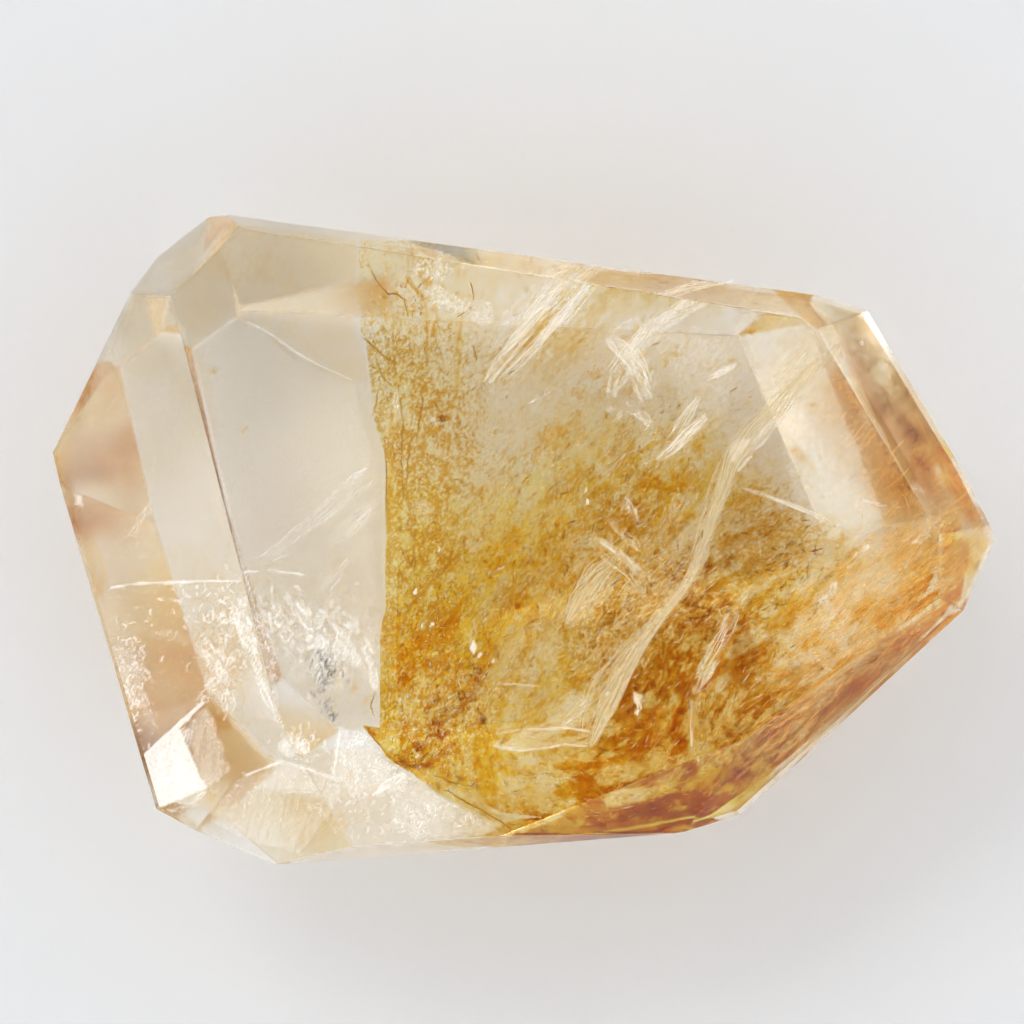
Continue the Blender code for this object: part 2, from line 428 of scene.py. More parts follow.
def strands(name, runs, material, sides=4):
    """Closed tapering threads joined in one piece. Each run is its points and
    its radius at each of them."""
    verts, faces = [], []
    for pts, rad in runs:
        pts, rad = np.asarray(pts, float), np.asarray(rad, float)
        n = len(pts)
        if n < 2:
            continue
        t = np.gradient(pts, axis=0)
        t /= np.maximum(np.linalg.norm(t, axis=1)[:, None], 1e-9)
        up = np.array([0.0, 0.0, 1.0])
        v = np.cross(t, up)
        v /= np.maximum(np.linalg.norm(v, axis=1)[:, None], 1e-6)
        w = np.cross(v, t)
        base = len(verts)
        roll = math.radians(rng.normal(0, 7))
        v, w = v * math.cos(roll) + w * math.sin(roll), w * math.cos(roll) - v * math.sin(roll)
        for i in range(n):
            for k in range(sides):
                a = 2 * math.pi * k / sides
                verts.append(pts[i] + rad[i] * (math.cos(a) * v[i] + 0.10 * math.sin(a) * w[i]))
        for i in range(n - 1):
            for k in range(sides):
                a, b = base + i * sides + k, base + i * sides + (k + 1) % sides
                faces.append((a, b, b + sides)); faces.append((a, b + sides, a + sides))
        for k in range(1, sides - 1):
            faces.append((base, base + k + 1, base + k))
            e = base + (n - 1) * sides
            faces.append((e, e + k, e + k + 1))
    return made(name, np.array(verts), np.array(faces, int), material)


def along(points, n):
    """n places evenly along a path of picture places."""
    p = np.asarray(points, float)
    d = np.concatenate([[0], np.cumsum(np.linalg.norm(np.diff(p, axis=0), axis=1))])
    s = np.linspace(0, d[-1], n)
    return np.stack([np.interp(s, d, p[:, i]) for i in range(p.shape[1])], 1)


# ------------------------------------------------------------------ materials
def shader(name, **values):
    m = bpy.data.materials.new(name)
    m.use_nodes = True
    s = m.node_tree.nodes["Principled BSDF"]
    for key, v in values.items():
        s.inputs[key.replace("_", " ")].default_value = v
    return m, m.node_tree, s


def add(nt, kind, **props):
    n = nt.nodes.new(kind)
    for k, v in props.items():
        if k in n.bl_rna.properties and not k.startswith("in_"):
            setattr(n, k, v)
    return n


def math_node(nt, op, a, b=None, clamp=False):
    n = nt.nodes.new("ShaderNodeMath")
    n.operation, n.use_clamp = op, clamp
    for i, x in enumerate((a, b)):
        if x is None:
            continue
        if hasattr(x, "is_output"):
            nt.links.new(x, n.inputs[i])
        else:
            n.inputs[i].default_value = x
    return n.outputs[0]


def blend_colour(nt, fac, a, b, how="MIX"):
    n = nt.nodes.new("ShaderNodeMix")
    n.data_type, n.blend_type = "RGBA", how
    for key, x in ((0, fac), (6, a), (7, b)):
        if hasattr(x, "is_output"):
            nt.links.new(x, n.inputs[key])
        elif key == 0:
            n.inputs[key].default_value = x
        else:
            n.inputs[key].default_value = (*x, 1.0)
    return n.outputs[2]


def noise_node(nt, vector, scale, detail=4.0, rough=0.55, warp=0.0):
    n = nt.nodes.new("ShaderNodeTexNoise")
    n.inputs["Scale"].default_value, n.inputs["Detail"].default_value = scale, detail
    n.inputs["Roughness"].default_value, n.inputs["Distortion"].default_value = rough, warp
    nt.links.new(vector, n.inputs["Vector"])
    return n.outputs[0]


def stretched(nt, turn, long, short, high=None):
    """Object coordinates turned so that a texture's features lie at an angle,
    with that many of them per metre along and across."""
    c = nt.nodes.new("ShaderNodeTexCoord")
    r = nt.nodes.new("ShaderNodeMapping")
    r.vector_type = "POINT"
    r.inputs["Rotation"].default_value = (0, 0, -math.radians(turn))
    nt.links.new(c.outputs["Object"], r.inputs["Vector"])
    s = nt.nodes.new("ShaderNodeMapping")
    s.inputs["Scale"].default_value = (long, short, high or short)
    nt.links.new(r.outputs[0], s.inputs["Vector"])
    return s.outputs[0]


def ramp(nt, fac, *stops):
    n = nt.nodes.new("ShaderNodeValToRGB")
    e = n.color_ramp.elements
    while len(e) < len(stops):
        e.new(0.5)
    for el, (at, col) in zip(e, stops):
        el.position = at
        el.color = (*col, 1.0) if hasattr(col, "__len__") else (col, col, col, 1.0)
    nt.links.new(fac, n.inputs[0])
    return n.outputs[0]


def attribute(nt, name, colour=False):
    n = nt.nodes.new("ShaderNodeAttribute")
    n.attribute_name = name
    return n.outputs["Color" if colour else "Fac"]


def glass(name, colour, density, ior, rough=0.0):
    m, nt, s = shader(name, Base_Color=(1, 1, 1, 1), Roughness=rough, IOR=ior, Transmission_Weight=1.0)
    v = nt.nodes.new("ShaderNodeVolumeAbsorption")
    v.inputs["Color"].default_value, v.inputs["Density"].default_value = (*colour, 1.0), density
    nt.links.new(v.outputs[0], nt.nodes["Material Output"].inputs["Volume"])
    return m, nt, s


def sliver_material(name, stops, rough=0.45, shine=0.3, lift=0.0, glow=(1.0, 0.93, 0.78)):
    m, nt, s = shader(name, Roughness=rough, Specular_IOR_Level=shine, Emission_Color=(*glow, 1.0), Emission_Strength=lift)
    u = nt.nodes.new("ShaderNodeUVMap")
    u.uv_map = "tone"
    x = nt.nodes.new("ShaderNodeSeparateXYZ")
    nt.links.new(u.outputs[0], x.inputs[0])
    col = ramp(nt, x.outputs[0], *stops)
    n = noise_node(nt, u.outputs[0], 14.0, 3.0)
    col = blend_colour(nt, 0.35, col, ramp(nt, n, (0.3, (0.75, 0.7, 0.62)), (0.7, (1, 1, 1))), "MULTIPLY")
    nt.links.new(col, s.inputs["Base Color"])
    m.cycles.emission_sampling = "NONE"
    return m


def thread_material(name, dark, light, rough=0.5, shine=0.3, size=900.0, lift=0.0, glow=(1.0, 0.97, 0.90)):
    m, nt, s = shader(name, Roughness=rough, Specular_IOR_Level=shine, Emission_Color=(*glow, 1.0), Emission_Strength=lift)
    n = noise_node(nt, stretched(nt, 55, size * 0.4, size), 1.0, 4.0, 0.6)
    nt.links.new(ramp(nt, n, (0.35, dark), (0.65, light)), s.inputs["Base Color"])
    m.cycles.emission_sampling = "NONE"
    return m


# ------------------------------------------------------------------- the body
def polished_body():
    """The stone itself: the CAD facets with their edges broken very slightly."""
    bm = bmesh.new()
    bm.from_mesh(node.data)
    bmesh.ops.remove_doubles(bm, verts=bm.verts[:], dist=1e-6)
    bmesh.ops.dissolve_limit(bm, angle_limit=math.radians(0.2), verts=bm.verts[:], edges=bm.edges[:])
    bmesh.ops.bevel(
        bm, geom=bm.edges[:], offset=0.00004, offset_type="OFFSET", segments=1,
        profile=0.5, affect="EDGES", clamp_overlap=True,
    )
    bmesh.ops.recalc_face_normals(bm, faces=bm.faces[:])
    me = bpy.data.meshes.new("quartz_body")
    bm.to_mesh(me)
    bm.free()
    ob = bpy.data.objects.new("quartz_body", me)
    bpy.context.scene.collection.objects.link(ob)
    m, nt, s = glass("quartz_clear", (0.95, 0.86, 0.70), 7.0, QUARTZ_IOR, 0.10)
    # A trace of unevenness left by the polishing
    b = nt.nodes.new("ShaderNodeBump")
    b.inputs["Strength"].default_value, b.inputs["Distance"].default_value = 0.05, 0.00001
    nt.links.new(noise_node(nt, stretched(nt, 20, 300, 900), 1.0, 0.0, 0.5), b.inputs["Height"])
    nt.links.new(b.outputs[0], s.inputs["Normal"])
    me.materials.append(m)
    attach(ob, "root")
    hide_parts("quartz_freeform")
    return ob


polished_body()

# --------------------------------------------------- strokes laid out on the view
# The stains read their threads, feathers and blotches from grids over the view,
# two cells to a picture unit, that the strokes below are drawn on.
CELLS = 2
SPAN = 1024 * CELLS


def blank():
    return np.zeros((SPAN, SPAN))


def dots(grid, x, y, half, strength):
    """Adds soft dots of the given half widths and strengths."""
    x, y, half, strength = (np.ravel(np.broadcast_to(v, np.shape(x))).astype(float) for v in (x, y, half, strength))
    reach = int(math.ceil(1.9 * half.max() * CELLS))
    cx, cy = x * CELLS, y * CELLS
    ix, iy = np.round(cx).astype(int), np.round(cy).astype(int)
    at, much = [], []
    for dy in range(-reach, reach + 1):
        for dx in range(-reach, reach + 1):
            jx, jy = ix + dx, iy + dy
            d2 = ((jx - cx) ** 2 + (jy - cy) ** 2) / (half * CELLS) ** 2
            ok = (jx >= 0) & (jx < SPAN) & (jy >= 0) & (jy < SPAN) & (d2 < 3.6)
            at.append((jy[ok] * SPAN + jx[ok]).astype(np.int32))
            much.append(strength[ok] * np.exp(-d2[ok]))
    at, much = np.concatenate(at), np.concatenate(much)
    if len(at):
        first, last = at.min() // SPAN, at.max() // SPAN + 1
        rows = np.bincount(at - first * SPAN, much, (last - first) * SPAN)
        grid[first:last] += rows.reshape(-1, SPAN)


def strokes(grid, x, y, angle, length, half, strength, bend=0.0):
    """Adds short curved strokes with pointed ends, given by their middles."""
    x, y, angle, length, half, strength, bend = (
        np.broadcast_to(v, np.shape(x)).astype(float)[:, None] for v in (x, y, angle, length, half, strength, bend)
    )
    m = max(4, int(math.ceil(float((length / half).max()) * 0.9)))
    s = np.linspace(-0.5, 0.5, m)[None, :]
    a = angle + bend * s
    step = length / (m - 1)
    sx, sy = np.cumsum(np.cos(a), 1) * step, -np.cumsum(np.sin(a), 1) * step
    sx, sy = x + sx - sx.mean(1, keepdims=True), y + sy - sy.mean(1, keepdims=True)
    w = half * (1.0 - 0.65 * (2 * s) ** 2)
    dots(grid, sx, sy, w, strength * np.minimum(step / (1.77 * w), 1.0))


def line(grid, path, half, strength, seed=0, wobble=0.6, break_up=0.4):
    """Adds a long uneven line."""
    g = np.random.default_rng(SEED + 900 + seed)
    p = np.asarray(path, float)
    total = np.linalg.norm(np.diff(p, axis=0), axis=1).sum()
    n = max(4, int(total / (half * 0.8)))
    q = along(p, n)
    t = np.linspace(0, total, n)
    off = wobble * speckle(t / 5.0, np.full(n, g.uniform(0, 90)), seed) + 0.5 * wobble * speckle(t / 2.0, np.full(n, g.uniform(0, 90)), seed)
    d = np.gradient(q, axis=0)
    d /= np.maximum(np.linalg.norm(d, axis=1)[:, None], 1e-6)
    k = 1 - break_up * (0.5 + 0.5 * speckle(t / 7.0, np.full(n, g.uniform(0, 90)), seed + 5))
    ends = np.clip(np.sin(np.pi * np.linspace(0.03, 0.97, n)) * 2.5, 0.2, 1)
    dots(grid, q[:, 0] - d[:, 1] * off, q[:, 1] + d[:, 0] * off, half * ends, strength * k * (total / n) / (1.77 * half))


def bundle(grid, path, widths, n, half, strength, seed, longest=0.5, stray=0.2):
    """Adds a bundle of lines along a path, as wide as given at its points."""
    g = np.random.default_rng(SEED + 1300 + seed)
    p = np.column_stack([np.asarray(path, float), np.asarray(widths, float)])
    total = np.linalg.norm(np.diff(p[:, :2], axis=0), axis=1).sum()
    m = max(8, int(total / (half * 0.9)))
    mid = along(p, m)
    t = np.gradient(mid[:, :2], axis=0)
    t /= np.maximum(np.linalg.norm(t, axis=1)[:, None], 1e-6)
    nrm = np.stack([-t[:, 1], t[:, 0]], 1)
    u = np.linspace(0, 1, m)
    xs, ys, hs, ss = [], [], [], []
    for k in range(n):
        c, L = g.uniform(0, 1), g.uniform(0.12, longest)
        use = np.abs(u - c) < L / 2
        if use.sum() < 3:
            continue
        s = (u[use] - c) / (L / 2)
        off = g.uniform(-1, 1) + stray * np.sin(s * g.uniform(1, 3) + g.uniform(0, 6))
        q = mid[use, :2] + nrm[use] * (off * mid[use, 2])[:, None]
        xs.append(q[:, 0]); ys.append(q[:, 1]); hs.append(half * g.uniform(0.7, 1.2) * (1 - 0.5 * s**2))
        ss.append(np.full(len(q), strength * g.uniform(0.4, 1.0) * (total / m) / (1.77 * half)))
    if xs:
        dots(grid, *(np.concatenate(v) for v in (xs, ys, hs, ss)))


def patch(grid, outline, strength, soft=1.2, fray=0.0, size=7.0, streak=0.0, seed=0, grain=0.0):
    """Fills an outline. fray makes its rim uneven, streak breaks it up along
    the fibres, and grain into crumbs."""
    o = np.asarray(outline, float)
    lo, hi = np.floor(o.min(0) - 4 - 2 * fray).astype(int), np.ceil(o.max(0) + 4 + 2 * fray).astype(int)
    lo, hi = np.clip(lo, 0, 1023), np.clip(hi, 1, 1024)
    gx, gy = np.meshgrid(np.arange(lo[0] * CELLS, hi[0] * CELLS) / CELLS, np.arange(lo[1] * CELLS, hi[1] * CELLS) / CELLS)
    wx = gx + fray * (speckle(gx / size, gy / size, 60 + seed) + 0.5 * speckle(gx / size * 3, gy / size * 3, 61 + seed))
    wy = gy + fray * (speckle(gx / size, gy / size, 62 + seed) + 0.5 * speckle(gx / size * 3, gy / size * 3, 63 + seed))
    inner = inside_outline(wx, wy, o)
    d = rim_distance(wx.ravel(), wy.ravel(), o).reshape(wx.shape)
    v = np.clip(0.5 + np.where(inner, d, -d) / (2 * soft), 0, 1)
    if streak:
        v = v * np.clip(1 - streak * (0.5 - 0.8 * fibres(gx, gy, 2.2, 26, 70 + seed)), 0, 1)
    if grain:
        v = v * (1 - grain * (1 - np.clip(0.35 + 1.3 * speckle(gx / 1.7, gy / 1.9, 71 + seed) + 0.7 * speckle(gx / 4.5, gy / 5, 72 + seed), 0, 1)))
    part = grid[lo[1] * CELLS:hi[1] * CELLS, lo[0] * CELLS:hi[0] * CELLS]
    part[...] = np.maximum(part, v * strength)


def pick(grid, px, py):
    """A grid's values at picture places."""
    x, y = np.clip(np.asarray(px, float) * CELLS, 0, SPAN - 1.001), np.clip(np.asarray(py, float) * CELLS, 0, SPAN - 1.001)
    i, j = x.astype(int), y.astype(int)
    u, v = x - i, y - j
    return (grid[j, i] * (1 - u) + grid[j, i + 1] * u) * (1 - v) + (grid[j + 1, i] * (1 - u) + grid[j + 1, i + 1] * u) * v


def share(grid, px, py):
    """How much of each place strokes cover, from 0 to 1."""
    return 1.0 - np.exp(-pick(grid, px, py))


def near_to(px, py, places):
    d = np.zeros(np.shape(px))
    for cx, cy, rx, ry, turn, much in places:
        d = np.maximum(d, much * spot(px, py, cx, cy, rx, ry, turn, 1.4))
    return d


white, cream, light, brown, rust = blank(), blank(), blank(), blank(), blank()

# The sharp left side of the iron-stained part, from the upper side downward
CURTAIN = [
    (358, 249), (359, 275), (358, 300), (360, 330), (366, 341), (368, 362), (371, 390), (373, 412), (375, 423),
    (379, 436), (384, 451), (386, 470), (385, 500), (386, 540), (385, 575), (386, 608), (382, 622), (380, 640),
    (380, 690), (380, 728), (362, 725), (370, 736), (380, 747), (386, 757), (392, 762), (410, 772), (440, 795),
    (480, 815), (507, 829),
]
WARM_END = [
    (560, 828), (640, 822), (700, 806), (760, 772), (850, 690), (925, 622), (950, 590), (962, 545), (940, 500),
    (905, 430), (870, 365), (845, 322), (800, 306), (700, 292), (600, 276), (500, 264), (420, 254),
]


def curtain_side(px, py):
    """Distance to the right of the curtain's sharp edge."""
    c = np.array(CURTAIN[:20], float)
    return px - np.interp(py, c[:, 1], c[:, 0])


warm_part = CURTAIN + WARM_END


def in_warm(px, py):
    return inside_outline(np.asarray(px, float), np.asarray(py, float), warm_part)


# ---- fine curls and fibres, thickest where the iron lies
g = np.random.default_rng(SEED + 11)
px, py, _ = scatter(
    5200, lambda x, y: in_warm(x, y) * np.exp(-np.clip(curtain_side(x, y) - 62, 0, 400) / 22.0)
    * np.clip(0.30 + (y - 300) / 170, 0.30, 1) * np.clip(0.70 + 0.9 * cloud(x, y, 15, 81, 3), 0.10, 1)
    * (1 - 0.85 * near_to(x, y, [(395, 413, 12, 16, 0, 1), (372, 285, 14, 36, 0, 1), (423, 500, 8, 44, 0, 0.7), (405, 470, 6, 40, 0, 0.4)])),
    (355, 240, 560, 830), 101,
)
n = len(px)
strokes(brown, px, py, lie(px, py) + g.normal(0, 0.9, n), g.uniform(3.5, 10.5, n), g.uniform(0.5, 0.78, n), g.uniform(0.5, 3.4, n), g.normal(0, 2.6, n))
px, py, _ = scatter(3600, lambda x, y: in_warm(x, y) * np.exp(-np.clip(curtain_side(x, y) - 75, 0, 400) / 30.0), (355, 240, 560, 830), 102)
n = len(px)
strokes(light, px, py, lie(px, py) + g.normal(0, 0.7, n), g.uniform(2.5, 8.0, n), g.uniform(0.5, 0.9, n), g.uniform(0.4, 1.8, n), g.normal(0, 2.0, n))

DENSE = [
    (590, 600, 120, 90, 40, 1.0), (660, 560, 100, 70, 45, 1.0), (550, 500, 90, 70, 40, 0.7), (650, 470, 90, 66, 40, 0.9),
    (520, 640, 130, 90, 50, 0.8), (760, 620, 110, 90, 35, 0.9), (700, 720, 130, 90, 30, 0.9), (600, 790, 150, 44, 5, 0.8),
    (840, 620, 110, 60, 32, 0.8), (450, 720, 70, 60, 0, 0.8), (920, 570, 50, 50, 0, 0.7), (540, 320, 70, 22, 48, 0.5), (640, 400, 60, 60, 40, 0.5),
]


def dense(px, py):
    return near_to(px, py, DENSE)


px, py, _ = scatter(15000, lambda x, y: in_warm(x, y) * np.clip(dense(x, y) * (0.6 + 0.6 * fibres(x, y, 8, 70, 33, steps=7)) * (0.75 + 1.5 * cloud(x, y, 20, 83, 3)), 0, 1), (400, 270, 950, 830), 103)
n = len(px)
strokes(light, px, py, lie(px, py) + g.normal(0, 0.45, n), g.uniform(2.5, 11.0, n), g.uniform(0.5, 0.85, n), g.uniform(0.4, 2.8, n), g.normal(0, 1.5, n))
px, py, _ = scatter(13000, lambda x, y: in_warm(x, y) * np.clip(dense(x, y) * (0.6 + 0.7 * fibres(x, y, 9, 60, 34, steps=7)) * (0.75 - 1.5 * cloud(x, y, 20, 83, 3)), 0, 1), (400, 270, 950, 830), 104)
n = len(px)
strokes(brown, px, py, lie(px, py) + g.normal(0, 0.60, n), g.uniform(2.5, 9.5, n), g.uniform(0.5, 0.80, n), g.uniform(0.3, 2.2, n), g.normal(0, 1.9, n))
# The tangle in the middle is browner, with pale curls over it
BROWN = [(640, 598, 62, 44, 40, 1), (770, 548, 46, 38, 0, 0.8), (700, 622, 36, 20, 10, 0.9), (620, 640, 50, 30, 45, 0.8), (560, 560, 60, 36, 40, 0.4), (600, 520, 50, 30, 45, 0.5), (540, 322, 74, 9, 48, 0.9)]
px, py, _ = scatter(5200, lambda x, y: in_warm(x, y) * near_to(x, y, BROWN), (400, 270, 950, 830), 105)
n = len(px)
strokes(brown, px, py, lie(px, py) + g.normal(0, 0.7, n), g.uniform(4, 13, n), g.uniform(0.6, 0.95, n), g.uniform(0.5, 2.4, n), g.normal(0, 1.7, n))
px, py, _ = scatter(2600, lambda x, y: in_warm(x, y) * near_to(x, y, BROWN), (400, 270, 950, 830), 106)
n = len(px)
strokes(light, px, py, lie(px, py) + g.normal(0, 0.7, n), g.uniform(4, 13, n), g.uniform(0.5, 0.8, n), g.uniform(1.0, 3.0, n), g.normal(0, 1.7, n))

px, py, _ = scatter(560, lambda x, y: in_warm(x, y) * near_to(x, y, [(640, 588, 58, 40, 40, 1), (606, 560, 36, 30, 40, 0.8), (606, 640, 50, 36, 45, 0.6), (690, 520, 26, 50, 50, 0.5), (640, 500, 40, 30, 45, 0.4)]), (480, 440, 780, 720), 107)
n = len(px)
strokes(cream, px, py, lie(px, py) + g.normal(0, 0.7, n), g.uniform(3, 14, n), g.uniform(0.5, 0.75, n), g.uniform(0.8, 2.6, n), g.normal(0, 1.7, n))
px, py, _ = scatter(420, lambda x, y: in_warm(x, y) * near_to(x, y, [(430, 716, 46, 44, 0, 1), (470, 700, 24, 40, 0, 0.8)]), (372, 650, 520, 780), 108)
n = len(px)
strokes(cream, px, py, lie(px, py) + g.normal(0, 0.9, n), g.uniform(2.5, 8, n), g.uniform(0.5, 0.8, n), g.uniform(0.6, 2.4, n), g.normal(0, 2.2, n))
strokes(brown, px + 3.1, py + 1.7, lie(px, py) + g.normal(0, 0.9, n), g.uniform(3, 10, n), g.uniform(0.5, 0.9, n), g.uniform(0.8, 3.2, n), g.normal(0, 2.2, n))

# ---- long cracks and veins in the curtain
CRACKS = [
    ([(395, 246), (402, 244), (408, 250), (408, 266), (407, 280), (413, 287), (420, 293), (425, 305), (427, 318), (427, 340), (426, 372)], 0.95, 2.4),
    ([(420, 387), (423, 402), (421, 412), (419, 424), (416, 440)], 1.0, 2.2),
    ([(370, 268), (376, 280), (382, 288), (388, 294), (396, 293), (404, 300), (408, 316)], 0.8, 1.9),
    ([(361, 336), (368, 342), (376, 349), (386, 358), (398, 364)], 1.3, 2.2),
    ([(462, 312), (460, 330), (457, 345), (459, 362), (457, 380), (455, 398), (452, 412)], 1.9, 1.3),
    ([(456, 318), (468, 310), (474, 305)], 0.8, 1.4),
    ([(455, 246), (457, 270)], 0.7, 1.6), ([(471, 282), (474, 300)], 0.6, 1.4), ([(473, 345), (477, 360)], 0.7, 1.7),
    ([(455, 558), (446, 568), (438, 576), (426, 588), (414, 602), (406, 613), (398, 632), (392, 652)], 1.8, 2.0),
    ([(392, 395), (390, 430), (391, 470), (389, 520), (388, 560), (390, 600)], 1.8, 1.3), ([(398, 385), (403, 420), (401, 460), (404, 500)], 1.3, 1.2),
    ([(412, 430), (408, 460), (406, 490), (412, 520)], 1.1, 1.2), ([(384, 440), (387, 470), (386, 510)], 1.6, 1.2),
    ([(377, 362), (383, 378), (392, 386)], 0.9, 1.6), ([(371, 418), (376, 404), (378, 388)], 0.9, 1.5),
    ([(376, 690), (373, 697), (371, 706), (374, 716)], 1.3, 2.2), ([(440, 725), (452, 716), (466, 704), (478, 690), (487, 674)], 1.2, 1.9),
    ([(388, 756), (396, 763), (408, 768), (420, 766), (432, 760), (452, 742)], 1.6, 2.6), ([(364, 726), (372, 736), (382, 748), (390, 758)], 1.8, 2.2),
    ([(446, 790), (462, 800), (478, 808), (498, 820), (520, 834)], 1.8, 2.0), ([(434, 775), (450, 782), (470, 786)], 0.8, 1.0),
    ([(400, 545), (404, 556), (412, 566)], 0.9, 1.8), ([(412, 548), (416, 560), (414, 572)], 0.8, 1.6), ([(398, 566), (404, 580)], 0.8, 1.5),
    ([(523, 628), (530, 622), (539, 619)], 1.2, 1.4), ([(496, 644), (499, 662)], 1.2, 1.8), ([(478, 706), (482, 720), (488, 732)], 2.2, 1.6),
    ([(560, 809), (585, 806), (610, 799), (640, 786), (665, 774), (700, 758)], 1.4, 1.2), ([(580, 815), (620, 806), (660, 790)], 1.0, 0.9),
    ([(676, 600), (690, 605), (704, 608), (720, 613)], 1.0, 1.9), ([(684, 628), (692, 619), (704, 616), (716, 622), (706, 632), (690, 631)], 1.0, 1.7),
]
for i, (path, half, much) in enumerate(CRACKS):
    line(brown, path, half, much, i)
    if half < 1.5:
        line(brown, np.asarray(path) + (1.7, 1.2), half * 0.6, much * 0.35, i + 50, 1.3, 0.8)

# ---- rust at the curtain's foot and elsewhere
for i, (x, y, rx, ry, turn, much) in enumerate([
    (437, 724, 8, 4, 10, 1.5), (441, 735, 9, 5, 15, 1.7), (419, 748, 5, 6, 0, 1.6), (404, 762, 15, 5, -22, 1.8), (424, 766, 9, 4, 10, 1.3),
    (446, 752, 12, 3, 35, 0.8), (482, 720, 5, 11, 0, 0.8), (464, 700, 9, 3, 45, 0.5), (478, 678, 4, 6, 10, 0.7), (443, 418, 5, 2, -10, 1.7),
    (372, 732, 8, 3, -50, 1.4), (374, 700, 3, 10, 0, 1.0), (532, 832, 14, 5, 0, 1.5), (569, 830, 6, 4, 0, 1.6), (680, 829, 36, 5, 6, 1.3),
    (726, 565, 6, 3, 25, 1.6), (709, 566, 5, 3, 10, 1.0), (700, 624, 18, 7, -8, 0.9), (752, 332, 3, 3, 0, 0.6), (796, 452, 4, 7, 40, 0.6),
    (803, 458, 4, 6, 30, 0.5), (812, 405, 4, 2, 0, 0.5), (518, 606, 3, 3, 0, 0.8), (612, 452, 8, 5, 40, 0.6), (632, 505, 7, 10, 60, 0.7), (452, 828, 30, 3, -30, 0.4),
]):
    px, py = g.normal(x, rx * 0.55, int(30 + rx * ry * 1.6)), g.normal(y, ry * 0.55, int(30 + rx * ry * 1.6))
    a = math.radians(turn)
    px, py = x + (px - x) * math.cos(a) + (py - y) * math.sin(a), y - (px - x) * math.sin(a) + (py - y) * math.cos(a)
    n = len(px)
    strokes(rust, px, py, g.uniform(0, 3.1, n), g.uniform(1.5, 5, n), g.uniform(0.6, 1.1, n), np.full(n, much * 0.42), g.normal(0, 1.5, n))

# ---- cream blades and flakes
patch(cream, [(736, 469), (727, 477), (716, 498), (705, 531), (704, 552), (690, 572), (674, 596), (656, 614), (644, 625), (648, 632), (658, 624), (673, 608), (694, 584), (706, 562), (713, 534), (724, 506), (733, 481)], 2.2, 0.8, 1.0, 9, 0.35, 1)
patch(cream, [(652, 620), (643, 640), (632, 662), (622, 682), (610, 712), (601, 736), (591, 746), (592, 712), (589, 696), (604, 682), (623, 660), (637, 640)], 2.0, 0.8, 1.0, 9, 0.4, 2)
patch(cream, [(493, 745), (508, 735), (530, 729), (550, 720), (562, 706), (571, 688), (589, 698), (592, 746), (565, 743), (540, 748), (520, 751), (499, 750)], 1.5, 0.8, 0.7, 9, 0.45, 3)
patch(cream, [(486, 686), (536, 684), (566, 690), (580, 700), (556, 716), (528, 726), (500, 732), (478, 734), (470, 712)], 0.42, 2.0, 2.5, 12, 0.5, 4)
patch(cream, [(562, 618), (568, 601), (577, 587), (595, 569), (607, 560), (614, 565), (610, 577), (592, 598), (577, 615), (566, 626)], 1.7, 0.7, 1.2, 8, 0.6, 5)
patch(cream, [(589, 611), (610, 583), (622, 564), (626, 569), (611, 593), (593, 612)], 1.6, 0.6, 0.8, 8, 0.5, 6)
patch(cream, [(583, 540), (590, 534), (604, 538), (616, 547), (628, 556), (646, 575), (642, 580), (622, 564), (606, 552), (594, 548)], 1.2, 0.8, 1.0, 8, 0.4, 7)
patch(cream, [(682, 496), (694, 488), (712, 479), (710, 492), (694, 506), (676, 526), (662, 540), (646, 566), (642, 560), (658, 534), (670, 514)], 0.7, 1.0, 2.2, 8, 0.7, 8)
patch(cream, [(640, 456), (664, 441), (684, 437), (702, 420), (704, 426), (690, 444), (668, 452), (646, 466)], 1.1, 1.0, 2.0, 7, 0.6, 9)
for i, (path, w, n, half, much) in enumerate([
    ([(734, 466), (720, 492), (708, 530), (706, 556), (690, 578), (668, 606), (640, 640), (624, 668), (610, 704), (594, 742)], [3, 5, 4, 3, 4, 4, 7, 8, 9, 3], 70, 0.7, 1.8),
    ([(818, 360), (800, 378), (780, 400), (758, 428), (740, 452)], [3, 6, 9, 10, 8], 80, 0.6, 1.6),
    ([(806, 352), (786, 372), (764, 396)], [2, 6, 6], 26, 0.55, 1.2),
    ([(742, 446), (722, 482), (704, 520), (676, 548), (650, 580)], [7, 10, 9, 8, 8], 70, 0.6, 0.9),
    ([(700, 540), (690, 560), (668, 590), (640, 620)], [5, 6, 9, 12], 50, 0.6, 0.8),
    ([(650, 628), (628, 652), (604, 684), (586, 712)], [5, 9, 12, 10], 60, 0.55, 1.2),
    ([(618, 556), (598, 580), (582, 604), (566, 626)], [9, 12, 10, 5], 60, 0.6, 1.6),
    ([(560, 600), (545, 640), (520, 690)], [12, 16, 20], 60, 0.55, 0.7),
    ([(580, 712), (560, 730), (530, 742), (500, 748)], [4, 10, 8, 3], 60, 0.6, 1.0),
    ([(640, 450), (664, 436), (690, 424), (706, 416)], [8, 9, 7, 3], 50, 0.55, 1.3),
    ([(600, 470), (625, 446), (655, 420)], [10, 12, 10], 50, 0.5, 0.8),
    ([(870, 545), (845, 580), (820, 620), (790, 650)], [16, 22, 22, 18], 90, 0.8, 0.8),
    ([(935, 520), (905, 552), (870, 590), (830, 640)], [8, 16, 20, 20], 80, 0.8, 0.8),
    ([(930, 612), (926, 622), (922, 636)], [4, 4, 2], 16, 0.7, 1.2),
]):
    bundle(cream, path, w, n, half, much, i)

